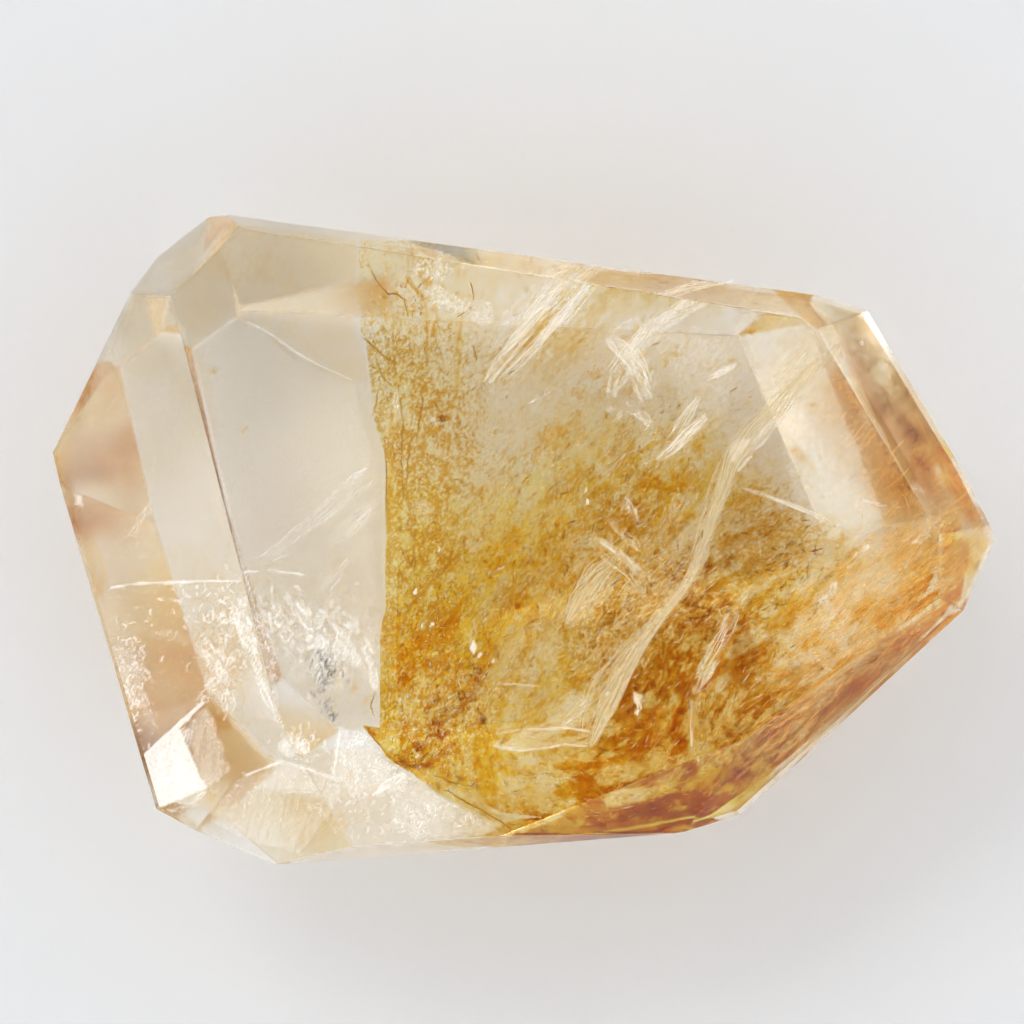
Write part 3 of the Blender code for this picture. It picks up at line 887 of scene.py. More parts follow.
# ---- white feathers, flakes and crumbs, and a painted highlight on the bright right facet
patch(white, [(548, 282), (562, 276), (575, 278), (566, 290), (548, 306), (530, 326), (512, 348), (500, 360), (505, 345), (520, 322), (534, 304)], 0.62, 2.0, 1.6, 9, 0.8, 11)
patch(white, [(500, 318), (530, 286), (548, 278), (540, 300), (516, 326), (498, 352), (488, 354)], 0.40, 4.0, 2.5, 9, 0.9, 12)
patch(white, [(414, 262), (436, 258), (456, 264), (452, 276), (430, 279), (412, 275)], 1.5, 3.0, 3.5, 6, 0.0, 13, 1.0)
patch(white, [(424, 290), (442, 288), (462, 300), (480, 312), (470, 319), (450, 310), (430, 300)], 1.7, 3.0, 3.0, 6, 0.0, 14, 0.95)
patch(white, [(476, 306), (490, 304), (494, 318), (488, 330), (476, 322)], 0.7, 5.0, 2.0, 8, 0.0, 15, 0.4)
patch(white, [(383, 392), (398, 388), (404, 404), (400, 424), (386, 428), (380, 410)], 0.75, 4.0, 3.0, 6, 0.0, 16, 0.9)
patch(white, [(422, 412), (434, 410), (444, 416), (438, 424), (424, 424)], 0.8, 3.0, 2.5, 6, 0.0, 17, 1.0)
patch(white, [(730, 448), (736, 438), (750, 440), (740, 459), (731, 463)], 2.6, 0.7, 0.8, 6, 0.2, 18)
patch(white, [(706, 414), (708, 420), (694, 434), (674, 448), (656, 460), (660, 452), (680, 438), (696, 422)], 2.0, 0.8, 1.0, 6, 0.4, 19)
patch(white, [(709, 379), (722, 369), (737, 363), (730, 371), (716, 378)], 2.2, 0.7, 0.8, 6, 0.2, 20)
patch(white, [(618, 354), (632, 344), (648, 350), (658, 372), (650, 394), (640, 398), (642, 376), (632, 362)], 0.55, 3.0, 3.0, 9, 0.6, 21, 0.3)
patch(white, [(604, 404), (618, 408), (634, 424), (624, 423), (608, 413)], 0.55, 2.0, 1.6, 7, 0.5, 22, 0.3)
patch(white, [(640, 330), (672, 326), (730, 330), (742, 380), (730, 430), (700, 440), (676, 420), (664, 380), (650, 350)], 0.30, 14.0, 5.0, 30, 0.0, 23)
# Painted highlight: the right facet that shows bright is drawn as white film, fading out towards its left side
painted_facet_highlight = blank()
patch(painted_facet_highlight, [(742, 312), (772, 316), (800, 320), (812, 334), (838, 398), (862, 460), (886, 523), (868, 534), (846, 546), (822, 548), (790, 520), (768, 480), (750, 440), (736, 400), (726, 350)], 0.62, 1.8, 1.2, 14, 0.0, 27, 0.10)
gx, gy = np.meshgrid(np.arange(SPAN) / CELLS, np.arange(SPAN) / CELLS)
white += painted_facet_highlight * np.clip((gx - 714 - 0.30 * (gy - 312)) / 56, 0, 1) ** 1.2 * np.clip((562 - gy) / 60, 0, 1)
patch(white, [(634, 692), (642, 695), (640, 706), (634, 702)], 2.4, 0.8, 0.6, 5, 0.0, 24)
patch(white, [(473, 640), (477, 646), (474, 655), (470, 648)], 3.5, 0.6, 0.2, 5, 0.0, 25)
patch(white, [(415, 500), (428, 498), (436, 510), (424, 522), (412, 514)], 0.45, 3.0, 2.0, 6, 0.0, 26, 0.6)
for x, y in [(415, 592), (422, 626), (480, 655), (493, 661), (587, 502), (586, 490), (439, 550), (862, 343), (607, 694), (417, 757), (400, 700), (868, 547), (835, 585), (843, 612), (636, 712)]:
    dots(white, np.array([x, x + 0.5, x - 0.4]), np.array([y, y - 1.6, y + 1.4]), 0.9, 2.4)
for i, (path, w, n, half, much) in enumerate([
    ([(574, 277), (552, 300), (526, 330), (500, 362), (488, 382)], [8, 10, 8, 6, 4], 80, 0.6, 1.0),
    ([(588, 284), (572, 304), (556, 322), (530, 352)], [3, 4, 5, 4], 40, 0.55, 1.5),
    ([(602, 272), (588, 284), (566, 312), (540, 346), (508, 380)], [4, 8, 9, 8, 6], 50, 0.5, 0.5),
    ([(608, 338), (622, 352), (636, 372), (648, 400)], [5, 8, 9, 7], 50, 0.6, 1.7),
    ([(645, 330), (634, 352), (622, 372), (612, 396)], [5, 9, 9, 6], 50, 0.6, 1.3),
    ([(626, 402), (640, 414), (650, 426)], [5, 6, 4], 26, 0.6, 1.4),
    ([(735, 276), (712, 290), (690, 302), (660, 324), (640, 344)], [5, 8, 9, 8, 6], 70, 0.55, 1.2),
    ([(700, 396), (690, 412), (672, 440)], [5, 7, 5], 30, 0.5, 0.9),
    ([(553, 391), (540, 398), (527, 405)], [2, 2, 1], 10, 0.5, 1.2), ([(631, 318), (620, 328), (612, 332)], [1, 2, 1], 7, 0.6, 1.5),
    ([(742, 487), (775, 499), (805, 511), (830, 522)], [1, 2, 3, 2], 16, 0.5, 1.7),
    ([(735, 610), (722, 640), (708, 668), (694, 692)], [8, 9, 8, 5], 50, 0.6, 0.8),
    ([(691, 700), (692, 748)], [1.2, 1.2], 14, 0.6, 0.7),
    ([(637, 700), (640, 712), (638, 722)], [2, 2, 1], 10, 0.5, 0.8),
    ([(780, 418), (765, 432), (744, 456), (736, 470)], [3, 6, 7, 4], 50, 0.6, 1.6),
    ([(600, 540), (624, 556), (646, 578)], [3, 4, 3], 26, 0.55, 1.2),
    ([(625, 498), (632, 512), (640, 526)], [4, 4, 3], 20, 0.6, 1.4), ([(610, 520), (625, 532), (640, 548)], [4, 5, 3], 20, 0.55, 1.1),
    ([(790, 470), (800, 474), (812, 480)], [1, 1, 1], 6, 0.5, 0.8),
    ([(496, 734), (530, 729), (560, 728), (590, 731)], [1, 1, 1.4, 1], 14, 0.7, 1.2), ([(488, 685), (512, 684), (538, 686)], [0.6, 0.6, 0.6], 10, 0.6, 0.8),
    ([(493, 746), (520, 751), (545, 748), (565, 744), (591, 747)], [0.7, 0.7, 0.7, 0.7, 0.7], 24, 0.6, 0.9),
    ([(560, 722), (575, 712), (588, 700)], [5, 6, 5], 24, 0.6, 0.9),
    ([(868, 545), (858, 556), (846, 566)], [3, 4, 3], 16, 0.8, 1.3), ([(838, 582), (832, 592), (822, 604)], [4, 5, 4], 20, 0.8, 1.3), ([(844, 606), (832, 618), (816, 632)], [3, 5, 4], 20, 0.8, 1.1),
    ([(905, 545), (918, 538), (930, 534)], [4, 6, 4], 24, 0.8, 1.1), ([(862, 500), (880, 505), (900, 508)], [1, 1.2, 1], 10, 0.6, 1.4),
    ([(820, 664), (835, 672), (845, 682)], [0.7, 0.9, 0.7], 8, 0.5, 0.9),
]):
    bundle(white, path, w, n, half, much, 100 + i)

# --------------------------------------------------------- stains on healed cracks


def stained(name, fine=1500.0, depth=0.25):
    """A see-through stain. Its tint is painted on the mesh, and a fine
    unevenness comes on top."""
    m, nt, s = shader(name, Roughness=0.0, IOR=1.0, Transmission_Weight=1.0)
    n = noise_node(nt, stretched(nt, 50, fine * 0.5, fine), 1.0, 1.0, 0.6)
    shade = ramp(nt, n, (0.35, (1.0, 1.0, 1.0)), (0.7, (1 - 0.35 * depth, 1 - 0.75 * depth, 1 - 1.6 * depth)))
    nt.links.new(blend_colour(nt, 1.0, attribute(nt, "tint", True), shade, "MULTIPLY"), s.inputs["Base Color"])
    return m


def spots_of(px, py, spots):
    d = np.zeros((len(px), 3))
    for (cx, cy, rx, ry, turn, edge), rgb in spots:
        d = d + spot(px, py, cx, cy, rx, ry, turn, edge)[:, None] * np.array(rgb)
    return np.maximum(d, 0)


def marked(d, px, py, threads=(0.075, 0.27, 0.85), blotch=(0.30, 0.80, 1.7), part=1.0, pale=(0.010, 0.05, 0.26)):
    """Densities with the strokes worked into them."""
    c, w = np.clip(share(cream, px, py), 0, 1), np.clip(share(white, px, py), 0, 1)
    d = d * (1 - 0.80 * share(light, px, py))[:, None]
    d = d + part * np.clip(pick(brown, px, py), 0, 3.0)[:, None] * np.array(threads) * 0.62
    d = d + part * np.clip(pick(rust, px, py), 0, 1.6)[:, None] * np.array(blotch) * 0.6
    d = d * (1 - 0.9 * c)[:, None] + c[:, None] * np.array(pale) * part
    return d * (1 - 0.94 * w)[:, None]


CURTAIN_STAIN = [
    ((420, 300, 110, 120, 0, 3), (-0.08, -0.03, 0.14)), ((420, 450, 110, 90, 0, 2.2), (-0.07, -0.02, 0.22)),
    ((420, 560, 110, 80, 0, 2.2), (-0.06, -0.03, 0.40)), ((420, 690, 120, 84, 0, 2.4), (0.05, 0.28, 1.8)),
    ((460, 780, 90, 50, -30, 2), (0.0, 0.08, 0.90)), ((457, 355, 6, 48, 0, 1.4), (0.02, 0.12, 0.5)),
    ((395, 470, 9, 90, 0, 1.4), (0.03, 0.14, 0.50)), ((395, 660, 12, 50, 0, 1.4), (0.03, 0.10, 0.30)),
]


def curtain_tint(px, py):
    right = np.clip(curtain_side(px, py), 0, 400)
    # Narrow and sharp above, wider below
    reach = np.interp(py, [240, 320, 420, 520, 600, 700, 830], [120, 100, 82, 80, 100, 130, 150])
    d = spots_of(px, py, CURTAIN_STAIN) * np.exp(-((right / reach) ** 3.0))[:, None]
    k = 1 + 0.10 * fibres(px, py, 2.2, 12, 1) + 0.42 * cloud(px, py, 22, 2, 4, 0.7) + 0.28 * speckle(px / 1.6, py / 1.8, 6)
    return np.exp(-marked(d * np.clip(k, 0.15, 2.6)[:, None], px, py, part=np.exp(-((right / 130.0) ** 4))[:, None]))


curtain_outline = [tuple(p) for p in CURTAIN] + [(530, 828), (560, 800), (545, 700), (530, 600), (520, 480), (510, 380), (500, 300), (495, 264), (420, 254)]
curtain_height = lambda x, y: 30.2 - 0.045 * np.clip(curtain_side(x, y), 0, 300) + 0.25 * waves(x, y, 80, 3)
stained_sheet("curtain_stain", curtain_outline, 1.02, curtain_height, stained("curtain_stained", 3800.0, 0.25), curtain_tint)

# Where the gold stain lies: ellipses with a density for red, green and blue
GOLD = [
    ((600, 370, 290, 110, -6, 2.2), (0.030, 0.095, 0.26)),       # beige upper part
    ((600, 670, 260, 190, 14, 2.4), (0.090, 0.37, 2.00)),       # gold lower part
    ((585, 450, 40, 36, 30, 1.3), (0.00, 0.06, 0.42)), ((512, 500, 62, 54, 0, 1.8), (-0.08, -0.13, -0.34)),
    ((655, 690, 80, 62, 40, 1.8), (0.24, 0.52, 1.65)), ((742, 715, 56, 48, 30, 1.6), (0.24, 0.54, 1.60)), ((690, 578, 36, 30, 40, 1.4), (0.28, 0.54, 0.90)),
    ((742, 622, 36, 30, 0, 1.4), (0.10, 0.22, 0.30)), ((690, 800, 105, 36, 10, 2.0), (0.18, 0.46, 1.70)), ((590, 316, 46, 24, 35, 1.3), (0.05, 0.12, 0.30)),
    ((660, 475, 66, 50, 40, 1.2), (0.00, 0.10, 0.85)), ((635, 510, 40, 30, 50, 1.2), (0.04, 0.12, 0.45)),
    ((652, 604, 70, 46, 40, 1.3), (0.16, 0.28, 0.36)),          # brown tangle
    ((660, 790, 180, 60, 14, 1.8), (0.18, 0.55, 2.10)), ((640, 802, 110, 26, 6, 1.6), (0.16, 0.38, 1.40)),
    ((430, 690, 60, 60, 0, 1.5), (0.02, 0.06, 0.60)), ((680, 700, 70, 60, 40, 1.4), (0.04, 0.22, 0.80)),
    ((772, 552, 44, 36, 0, 1.2), (0.13, 0.26, 0.55)), ((790, 535, 60, 36, -20, 1.3), (0.03, 0.10, 0.30)),
    ((740, 650, 80, 60, 30, 1.4), (0.10, 0.26, 0.85)), ((875, 610, 90, 44, 34, 1.5), (-0.10, 0.40, 1.35)),
    ((926, 586, 13, 11, 30, 1.4), (-0.05, 0.25, 1.4)), ((858, 420, 12, 60, 26, 2), (0.0, 0.10, 0.14)), ((888, 470, 14, 40, 26, 2), (0.0, 0.15, 0.34)),
    ((500, 600, 70, 44, 30, 1.5), (-0.10, -0.16, -0.20)),
    ((570, 340, 42, 15, 42, 1.1), (0.02, 0.12, 0.40)), ((680, 290, 80, 26, -4, 1.3), (0.09, 0.18, 0.48)), ((520, 275, 34, 12, 0, 1.3), (0.02, 0.06, 0.14)),
    ((860, 690, 90, 40, 40, 1.4), (0.06, 0.20, 0.50)), ((930, 560, 34, 34, 0, 1.4), (-0.05, -0.02, 0.30)),
]
# The browner band at the stained end, outside the bright facet
BAND = [
    ((872, 425, 22, 66, 28, 2.4), (0.20, 0.42, 0.66)), ((905, 490, 24, 40, 28, 2.0), (0.10, 0.30, 0.60)), ((920, 560, 26, 34, 10, 1.8), (0.10, 0.30, 0.75)),
    ((885, 636, 74, 32, 38, 1.6), (0.18, 0.36, 0.56)), ((648, 785, 56, 18, -8, 1.6), (0.16, 0.38, 1.30)), ((720, 745, 60, 26, 10, 1.6), (0.08, 0.20, 0.60)), ((805, 705, 62, 40, 40, 1.6), (0.12, 0.26, 0.36)), ((775, 665, 40, 34, 30, 1.4), (0.06, 0.16, 0.14)),
    ((521, 822, 44, 14, 0, 1.6), (0.16, 0.32, 0.70)), ((585, 625, 42, 32, 30, 1.4), (0.09, 0.15, 0.26)),
    ((640, 780, 46, 22, 0, 1.6), (0.14, 0.32, 0.70)), ((682, 600, 32, 34, 20, 1.5), (0.20, 0.36, 0.75)), ((722, 738, 48, 30, 20, 1.5), (0.13, 0.30, 0.80)), ((600, 740, 30, 20, 0, 1.5), (0.05, 0.12, 0.25)),
]
# and where it is thinner than around; the ones at (770, 400) and (825, 460) thin it under the bright right facet as a
# painted highlight
CLEARER = [
    (880, 570, 60, 34, 34, 0.45), (830, 640, 50, 26, 34, 0.40), (700, 370, 70, 60, 0, 0.45), (770, 400, 70, 70, 0, 0.80), (825, 460, 60, 80, -20, 0.85),
    (540, 760, 40, 20, 0, 0.15), (820, 548, 40, 36, 0, 0.5), (885, 545, 50, 30, 0, 0.45), (505, 775, 26, 20, 0, 0.3), (545, 690, 60, 34, 0, 0.35), (700, 540, 40, 30, 0, 0.15), (560, 640, 26, 20, 0, 0.15), (925, 548, 30, 20, 20, 0.5),
]


def gold_tint(px, py):
    d = spots_of(px, py, GOLD)
    k = 1 + 0.10 * fibres(px, py, 2.4, 14, 11) + 0.10 * fibres(px, py, 8, 60, 14) + 0.42 * cloud(px, py, 44, 15, 5, 0.68) + 0.26 * cloud(px, py, 13, 16, 3, 0.7) + 0.26 * speckle(px / 1.9, py / 1.9, 11)
    k = k * (1 - near_to(px, py, CLEARER))
    d = d * np.clip(k, 0.08, 2.6)[:, None] + spots_of(px, py, BAND) * np.clip(1 + 0.8 * cloud(px, py, 18, 18, 4, 0.7), 0.2, 2)[:, None]
    return np.exp(-marked(d, px, py, part=(1 - 0.7 * np.exp(-((np.clip(curtain_side(px, py), 0, 900) / 130.0) ** 4)))[:, None]))


inner_outline = [
    (420, 262), (560, 278), (700, 300), (800, 318), (832, 345), (882, 410), (916, 475), (941, 535), (940, 562), (920, 605), (850, 680), (760, 760), (690, 800),
    (560, 820), (500, 812), (440, 780), (400, 750), (396, 640), (398, 520), (390, 400), (380, 300),
]
stained_sheet(
    "gold_stain", inner_outline, 1.32,
    lambda x, y: 24.5 + 1.6 * waves(x, y, 260, 5) - 0.006 * (y - 560),
    stained("gold_stained", 3000.0, 0.22), gold_tint,
)

# -------------------------------------- stains and milky films close under the facets


def under(depth, margin=0.25):
    """Places a little way inside the stone, through whichever facet shows."""
    return lambda px, py: within(px, py, depth, margin)


# The clear end: haze, small flaws, and a painted reflection of the gold part in its left corner
clear_outline = [
    (214, 221), (300, 231), (357, 239), (356, 249), (357, 300), (358, 330), (364, 341), (366, 362), (369, 390), (373, 423), (377, 437), (382, 452),
    (383, 470), (383, 540), (383, 608), (379, 640), (378, 722), (361, 724), (368, 737), (390, 763), (440, 797), (480, 817), (505, 832),
    (500, 848), (302, 868), (287, 865), (197, 827), (159, 806), (64, 486), (56, 454), (133, 296), (161, 259),
]
milk_and_highlight, tan, grey = blank(), blank(), blank()
g = np.random.default_rng(SEED + 12)
# amber in the left corner: a painted reflection of the gold part, seen there by total internal reflection
patch(tan, [(57, 446), (64, 458), (69, 479), (70, 509), (89, 527), (101, 554), (106, 576), (102, 598), (93, 602), (60, 486)], 1.5, 2.0, 2.0, 10, 0.3, 31)
# beige haze above its soft lower side, and other soft patches
patch(tan, [(205, 222), (300, 230), (360, 240), (358, 330), (366, 380), (351, 380), (330, 372), (301, 355), (276, 338), (252, 323), (227, 321), (206, 330), (188, 343), (176, 300), (172, 270)], 0.42, 5.0, 6.0, 26, 0.0, 32)
patch(tan, [(215, 240), (262, 246), (300, 276), (296, 300), (262, 290), (236, 300), (214, 280)], 0.75, 9.0, 9.0, 24, 0.3, 33)
patch(tan, [(150, 560), (168, 545), (206, 552), (228, 575), (226, 640), (190, 646), (170, 610), (148, 598)], 0.38, 9.0, 9.0, 22, 0.2, 34)
patch(tan, [(143, 672), (150, 650), (172, 640), (185, 652), (190, 690), (186, 724), (170, 742), (152, 720)], 0.85, 4.0, 3.0, 14, 0.2, 35)
patch(tan, [(180, 650), (188, 668), (196, 700), (190, 726), (182, 700)], 1.1, 2.0, 2.0, 9, 0.4, 36)
patch(tan, [(186, 640), (196, 612), (218, 614), (244, 616), (248, 650), (238, 690), (231, 728), (212, 731), (205, 704), (192, 690), (184, 662)], 0.62, 3.0, 4.0, 12, 0.5, 37)
patch(tan, [(210, 714), (230, 714), (230, 729), (214, 731)], 1.6, 2.0, 1.5, 6, 0.2, 38)
patch(tan, [(262, 560), (300, 566), (318, 600), (300, 640), (268, 630), (252, 596)], 0.22, 10.0, 9.0, 22, 0.2, 39)
patch(tan, [(330, 556), (348, 560), (346, 600), (330, 604)], 0.30, 8.0, 5.0, 18, 0.2, 40)
patch(tan, [(206, 770), (250, 772), (300, 770), (330, 790), (300, 850), (240, 838), (200, 820)], 0.22, 9.0, 9.0, 22, 0.2, 41)
patch(tan, [(118, 300), (170, 296), (196, 330), (214, 420), (200, 440), (170, 380), (126, 370)], 0.28, 7.0, 7.0, 22, 0.1, 42)
line(tan, [(119, 400), (127, 470), (134, 520)], 1.4, 0.7, 301, 0.6); line(tan, [(103, 350), (112, 402), (120, 452), (129, 508)], 0.9, 0.6, 302, 0.4)
line(tan, [(131, 508), (136, 516), (138, 525)], 1.5, 1.8, 303, 0.5)
# curls on the fibrous patch and fine brown lines round it
n = 420
px, py = g.normal(214, 15, n), g.normal(668, 28, n)
strokes(tan, px, py, math.radians(82) + g.normal(0, 0.55, n), g.uniform(5, 18, n), g.uniform(0.6, 1.0, n), g.uniform(0.3, 1.6, n), g.normal(0, 1.6, n))
px, py = g.normal(246, 22, 240), g.normal(640, 34, 240)
strokes(tan, px, py, math.radians(105) + g.normal(0, 0.6, 240), g.uniform(5, 16, 240), g.uniform(0.5, 0.8, 240), g.uniform(0.2, 0.8, 240), g.normal(0, 1.6, 240))
px, py = g.uniform(100, 372, 420), g.uniform(240, 850, 420)
strokes(tan, px, py, g.uniform(0, 3.1, 420), g.uniform(2, 7, 420), g.uniform(0.5, 0.8, 420), g.uniform(0.15, 0.7, 420), g.normal(0, 1.6, 420))
for i, (x, y) in enumerate([(355, 688), (350, 775), (372, 797), (345, 825), (422, 785), (213, 372), (245, 430), (374, 790), (368, 700), (340, 815), (430, 782), (300, 840), (212, 796)]):
    strokes(tan, g.normal(x, 2.2, 9), g.normal(y, 2.6, 9), g.uniform(0, 3.1, 9), g.uniform(3, 8, 9), np.full(9, 0.9), np.full(9, 0.8), g.normal(0, 1, 9))
line(tan, [(332, 716), (337, 700), (338, 680), (342, 664), (350, 652)], 0.9, 0.9, 304, 0.8); line(tan, [(362, 724), (352, 728), (345, 724)], 0.9, 0.8, 305, 0.6)
line(tan, [(250, 620), (262, 660), (276, 700), (282, 726)], 0.8, 0.7, 306, 0.6)
# dark grey specks
for i, (x, y, s, m, k) in enumerate([(318, 652, 4.5, 26, 0.9), (321, 666, 6.0, 60, 1.2), (328, 660, 4.5, 30, 1.0), (323, 680, 4.5, 34, 1.2), (334, 672, 2.0, 8, 1.2), (342, 672, 1.4, 5, 1.6), (316, 694, 3.0, 9, 0.8), (326, 706, 4.0, 14, 0.8), (333, 715, 3.0, 12, 1.1), (350, 683, 2, 3, 0.6)]):
    strokes(grey, g.normal(x, s, m), g.normal(y, s * 1.1, m), g.uniform(0.5, 2.6, m), g.uniform(2, 6, m), g.uniform(0.6, 1.1, m), np.full(m, k * 0.8), g.normal(0, 1.2, m))
# white films: wisps, crumbs, and a painted highlight where a facet at the lower corner shows bright white
patch(milk_and_highlight, [(304, 640), (316, 634), (334, 636), (347, 648), (344, 658), (328, 648), (312, 652)], 0.9, 2.0, 2.5, 7, 0.3, 51)
patch(milk_and_highlight, [(242, 680), (256, 676), (272, 676), (280, 726), (262, 716)], 0.34, 2.0, 1.5, 10, 0.1, 52)
# painted highlight: the bright facet at the lower corner
patch(milk_and_highlight, [(138, 762), (160, 740), (186, 716), (204, 702), (180, 728), (184, 742), (192, 757), (198, 772), (206, 788), (182, 798), (152, 810), (140, 786)], 2.4, 1.2, 1.0, 9, 0.12, 53)
patch(milk_and_highlight, [(190, 346), (226, 328), (252, 326), (301, 358), (351, 383), (371, 440), (378, 560), (376, 604), (262, 604), (238, 560), (205, 430)], 0.13, 7.0, 5.0, 30, 0.0, 66)
patch(milk_and_highlight, [(206, 706), (216, 730), (224, 756), (230, 770), (206, 788), (194, 758), (184, 730)], 0.45, 2.0, 2.0, 12, 0.2, 54)
patch(milk_and_highlight, [(395, 790), (420, 786), (450, 800), (480, 818), (503, 833), (460, 836), (420, 838), (390, 826)], 0.26, 3.0, 2.5, 14, 0.0, 55, 0.5)
patch(milk_and_highlight, [(340, 742), (360, 730), (388, 766), (412, 776), (396, 792), (360, 800), (336, 780)], 0.38, 4.0, 3.0, 14, 0.0, 56, 0.3)
patch(milk_and_highlight, [(244, 776), (264, 768), (284, 762), (310, 770), (334, 780), (340, 724), (352, 740), (340, 800), (300, 850), (250, 842), (210, 822), (224, 800)], 0.28, 3.0, 3.0, 18, 0.2, 57)
patch(milk_and_highlight, [(116, 646), (128, 640), (140, 656), (150, 700), (158, 734), (146, 724), (130, 700), (116, 680)], 0.50, 6.0, 5.0, 14, 0.0, 58, 0.5)
patch(milk_and_highlight, [(150, 632), (162, 626), (190, 636), (196, 642), (176, 644), (156, 640)], 0.55, 4.0, 4.0, 9, 0.0, 59, 0.5)
patch(milk_and_highlight, [(276, 744), (288, 734), (306, 740), (308, 752), (292, 757), (278, 754)], 0.8, 1.4, 2.5, 5, 0.3, 60)
patch(milk_and_highlight, [(76, 494), (82, 496), (82, 506), (76, 504)], 1.3, 1.6, 0.8, 5, 0.0, 61)
patch(milk_and_highlight, [(270, 600), (320, 596), (372, 616), (376, 690), (340, 700), (290, 664), (262, 640)], 0.22, 12.0, 10.0, 18, 0.5, 62)
patch(milk_and_highlight, [(214, 640), (222, 636), (226, 660), (219, 668)], 0.6, 1.4, 1.5, 5, 0.4, 63)
patch(milk_and_highlight, [(62, 470), (56, 454), (133, 300), (172, 298), (206, 430), (240, 560), (278, 722), (206, 700), (140, 758), (100, 620)], 0.16, 9.0, 8.0, 40, 0.0, 64)
patch(milk_and_highlight, [(160, 262), (214, 224), (240, 230), (172, 294), (134, 292)], 0.10, 5.0, 5.0, 30, 0.0, 65)
for i, (path, w, n, half, much) in enumerate([
    ([(110, 588), (140, 584), (180, 582), (240, 581)], [1.2, 1.5, 1.4, 1.2], 26, 0.7, 1.1), ([(244, 572), (275, 571), (302, 575)], [1, 1, 1], 12, 0.6, 1.0),
    ([(372, 480), (345, 498), (318, 518), (292, 540), (262, 560)], [4, 8, 9, 8, 5], 30, 0.6, 0.55), ([(368, 470), (350, 480), (330, 500)], [3, 5, 4], 18, 0.6, 0.8),
    ([(380, 500), (356, 520), (332, 544)], [5, 7, 5], 24, 0.6, 0.6), ([(350, 560), (330, 580), (310, 604)], [8, 10, 8], 24, 0.6, 0.45),
    ([(152, 504), (142, 520), (132, 536)], [3, 5, 5], 18, 0.7, 0.6), ([(228, 322), (238, 321), (252, 323)], [1, 1, 1], 8, 0.6, 0.6),
    ([(252, 323), (276, 338), (301, 355), (351, 380)], [0.8, 0.8, 0.8, 0.8], 12, 0.6, 0.5), ([(234, 610), (250, 650), (268, 700), (282, 728)], [3, 4, 4, 3], 34, 0.6, 0.9),
    ([(198, 640), (214, 660), (226, 690), (230, 710)], [8, 10, 9, 6], 60, 0.6, 0.9), ([(200, 700), (206, 690), (212, 676)], [3, 4, 3], 18, 0.7, 1.2),
    ([(236, 600), (250, 622), (262, 644)], [8, 10, 9], 50, 0.6, 0.8), ([(290, 590), (304, 612), (316, 630)], [8, 9, 7], 40, 0.6, 0.8),
    ([(372, 766), (396, 782), (404, 788)], [10, 12, 8], 40, 0.6, 0.7), ([(410, 770), (392, 782), (372, 796)], [2, 4, 3], 30, 0.7, 1.1),
    ([(245, 775), (264, 768), (282, 761), (310, 770), (333, 779)], [1, 1, 1, 1, 1], 20, 0.8, 0.9), ([(341, 724), (337, 750), (333, 778)], [0.8, 0.8, 0.8], 14, 0.7, 0.9),
    ([(138, 762), (160, 741), (186, 717), (203, 703)], [1, 1, 1, 1], 20, 0.9, 1.6), ([(191, 345), (206, 410), (215, 455), (226, 497), (238, 545), (245, 573), (254, 606), (277, 700)], [0.5] * 8, 12, 0.6, 0.5),
    ([(362, 640), (370, 660), (376, 690)], [4, 5, 3], 24, 0.7, 0.9), ([(330, 620), (344, 640), (356, 662)], [5, 6, 4], 26, 0.6, 0.7),
    ([(186, 728), (176, 752), (166, 780)], [8, 10, 12], 60, 0.8, 0.6), ([(160, 810), (190, 806), (206, 792)], [3, 4, 2], 20, 0.8, 0.6),
]):
    bundle(milk_and_highlight, path, w, n, half, much, 200 + i)
n = 900
px, py, _ = scatter(n, lambda x, y: near_to(x, y, [(250, 625, 60, 34, -20, 1), (130, 690, 22, 50, 0, 0.9), (330, 640, 40, 40, 0, 0.8), (430, 815, 60, 18, 10, 0.25), (220, 660, 22, 40, 0, 0.7), (300, 745, 20, 14, 0, 0.9), (360, 760, 20, 30, 0, 0.5)]), (100, 560, 500, 850), 110)
n = len(px)
strokes(milk_and_highlight, px, py, math.radians(100) + g.normal(0, 0.7, n), g.uniform(2.5, 11, n), g.uniform(0.55, 0.9, n), g.uniform(0.3, 1.6, n), g.normal(0, 1.4, n))
px, py, _ = scatter(210, lambda x, y: near_to(x, y, [(340, 812, 90, 34, -4, 1), (250, 800, 40, 30, 0, 0.7), (440, 812, 60, 22, 10, 0.6)]), (200, 740, 505, 862), 111)
n = len(px)
strokes(milk_and_highlight, px, py, g.uniform(0, 3.1, n), g.uniform(2.5, 12, n), g.uniform(0.55, 0.8, n), g.uniform(0.1, 0.55, n), g.normal(0, 1.6, n))
strokes(tan, px[::3] + 4, py[::3] - 2, g.uniform(0, 3.1, len(px[::3])), g.uniform(2.5, 8, len(px[::3])), g.uniform(0.5, 0.9, len(px[::3])), g.uniform(0.2, 0.9, len(px[::3])), g.normal(0, 1.6, len(px[::3])))

CLEAR_END = [
    ((220, 540, 200, 330, 10, 6), (0.004, 0.010, 0.022)), ((300, 560, 90, 90, 0, 1.5), (0.05, 0.06, 0.06)), ((150, 400, 46, 120, 10, 1.6), (0.03, 0.06, 0.14)),
    ((210, 690, 40, 60, 0, 1.5), (0.02, 0.04, 0.08)),
]


def clear_tint(px, py):
    d = spots_of(px, py, CLEAR_END) * (1 + 0.5 * cloud(px, py, 60, 21, 4))[:, None]
    t = np.clip(pick(tan, px, py), 0, 2.2) * (1 + 0.25 * cloud(px, py, 12, 22, 3))
    d = d + t[:, None] * np.array([0.045, 0.18, 0.48])
    d = d + np.clip(pick(grey, px, py), 0, 2.5)[:, None] * np.array([0.62, 0.60, 0.54])
    return np.exp(-np.maximum(d, 0))


stained_sheet("clear_end_haze", clear_outline, 1.9, None, stained("haze_stained", 2400.0, 0.06), clear_tint, place=under(0.8), parted=True)

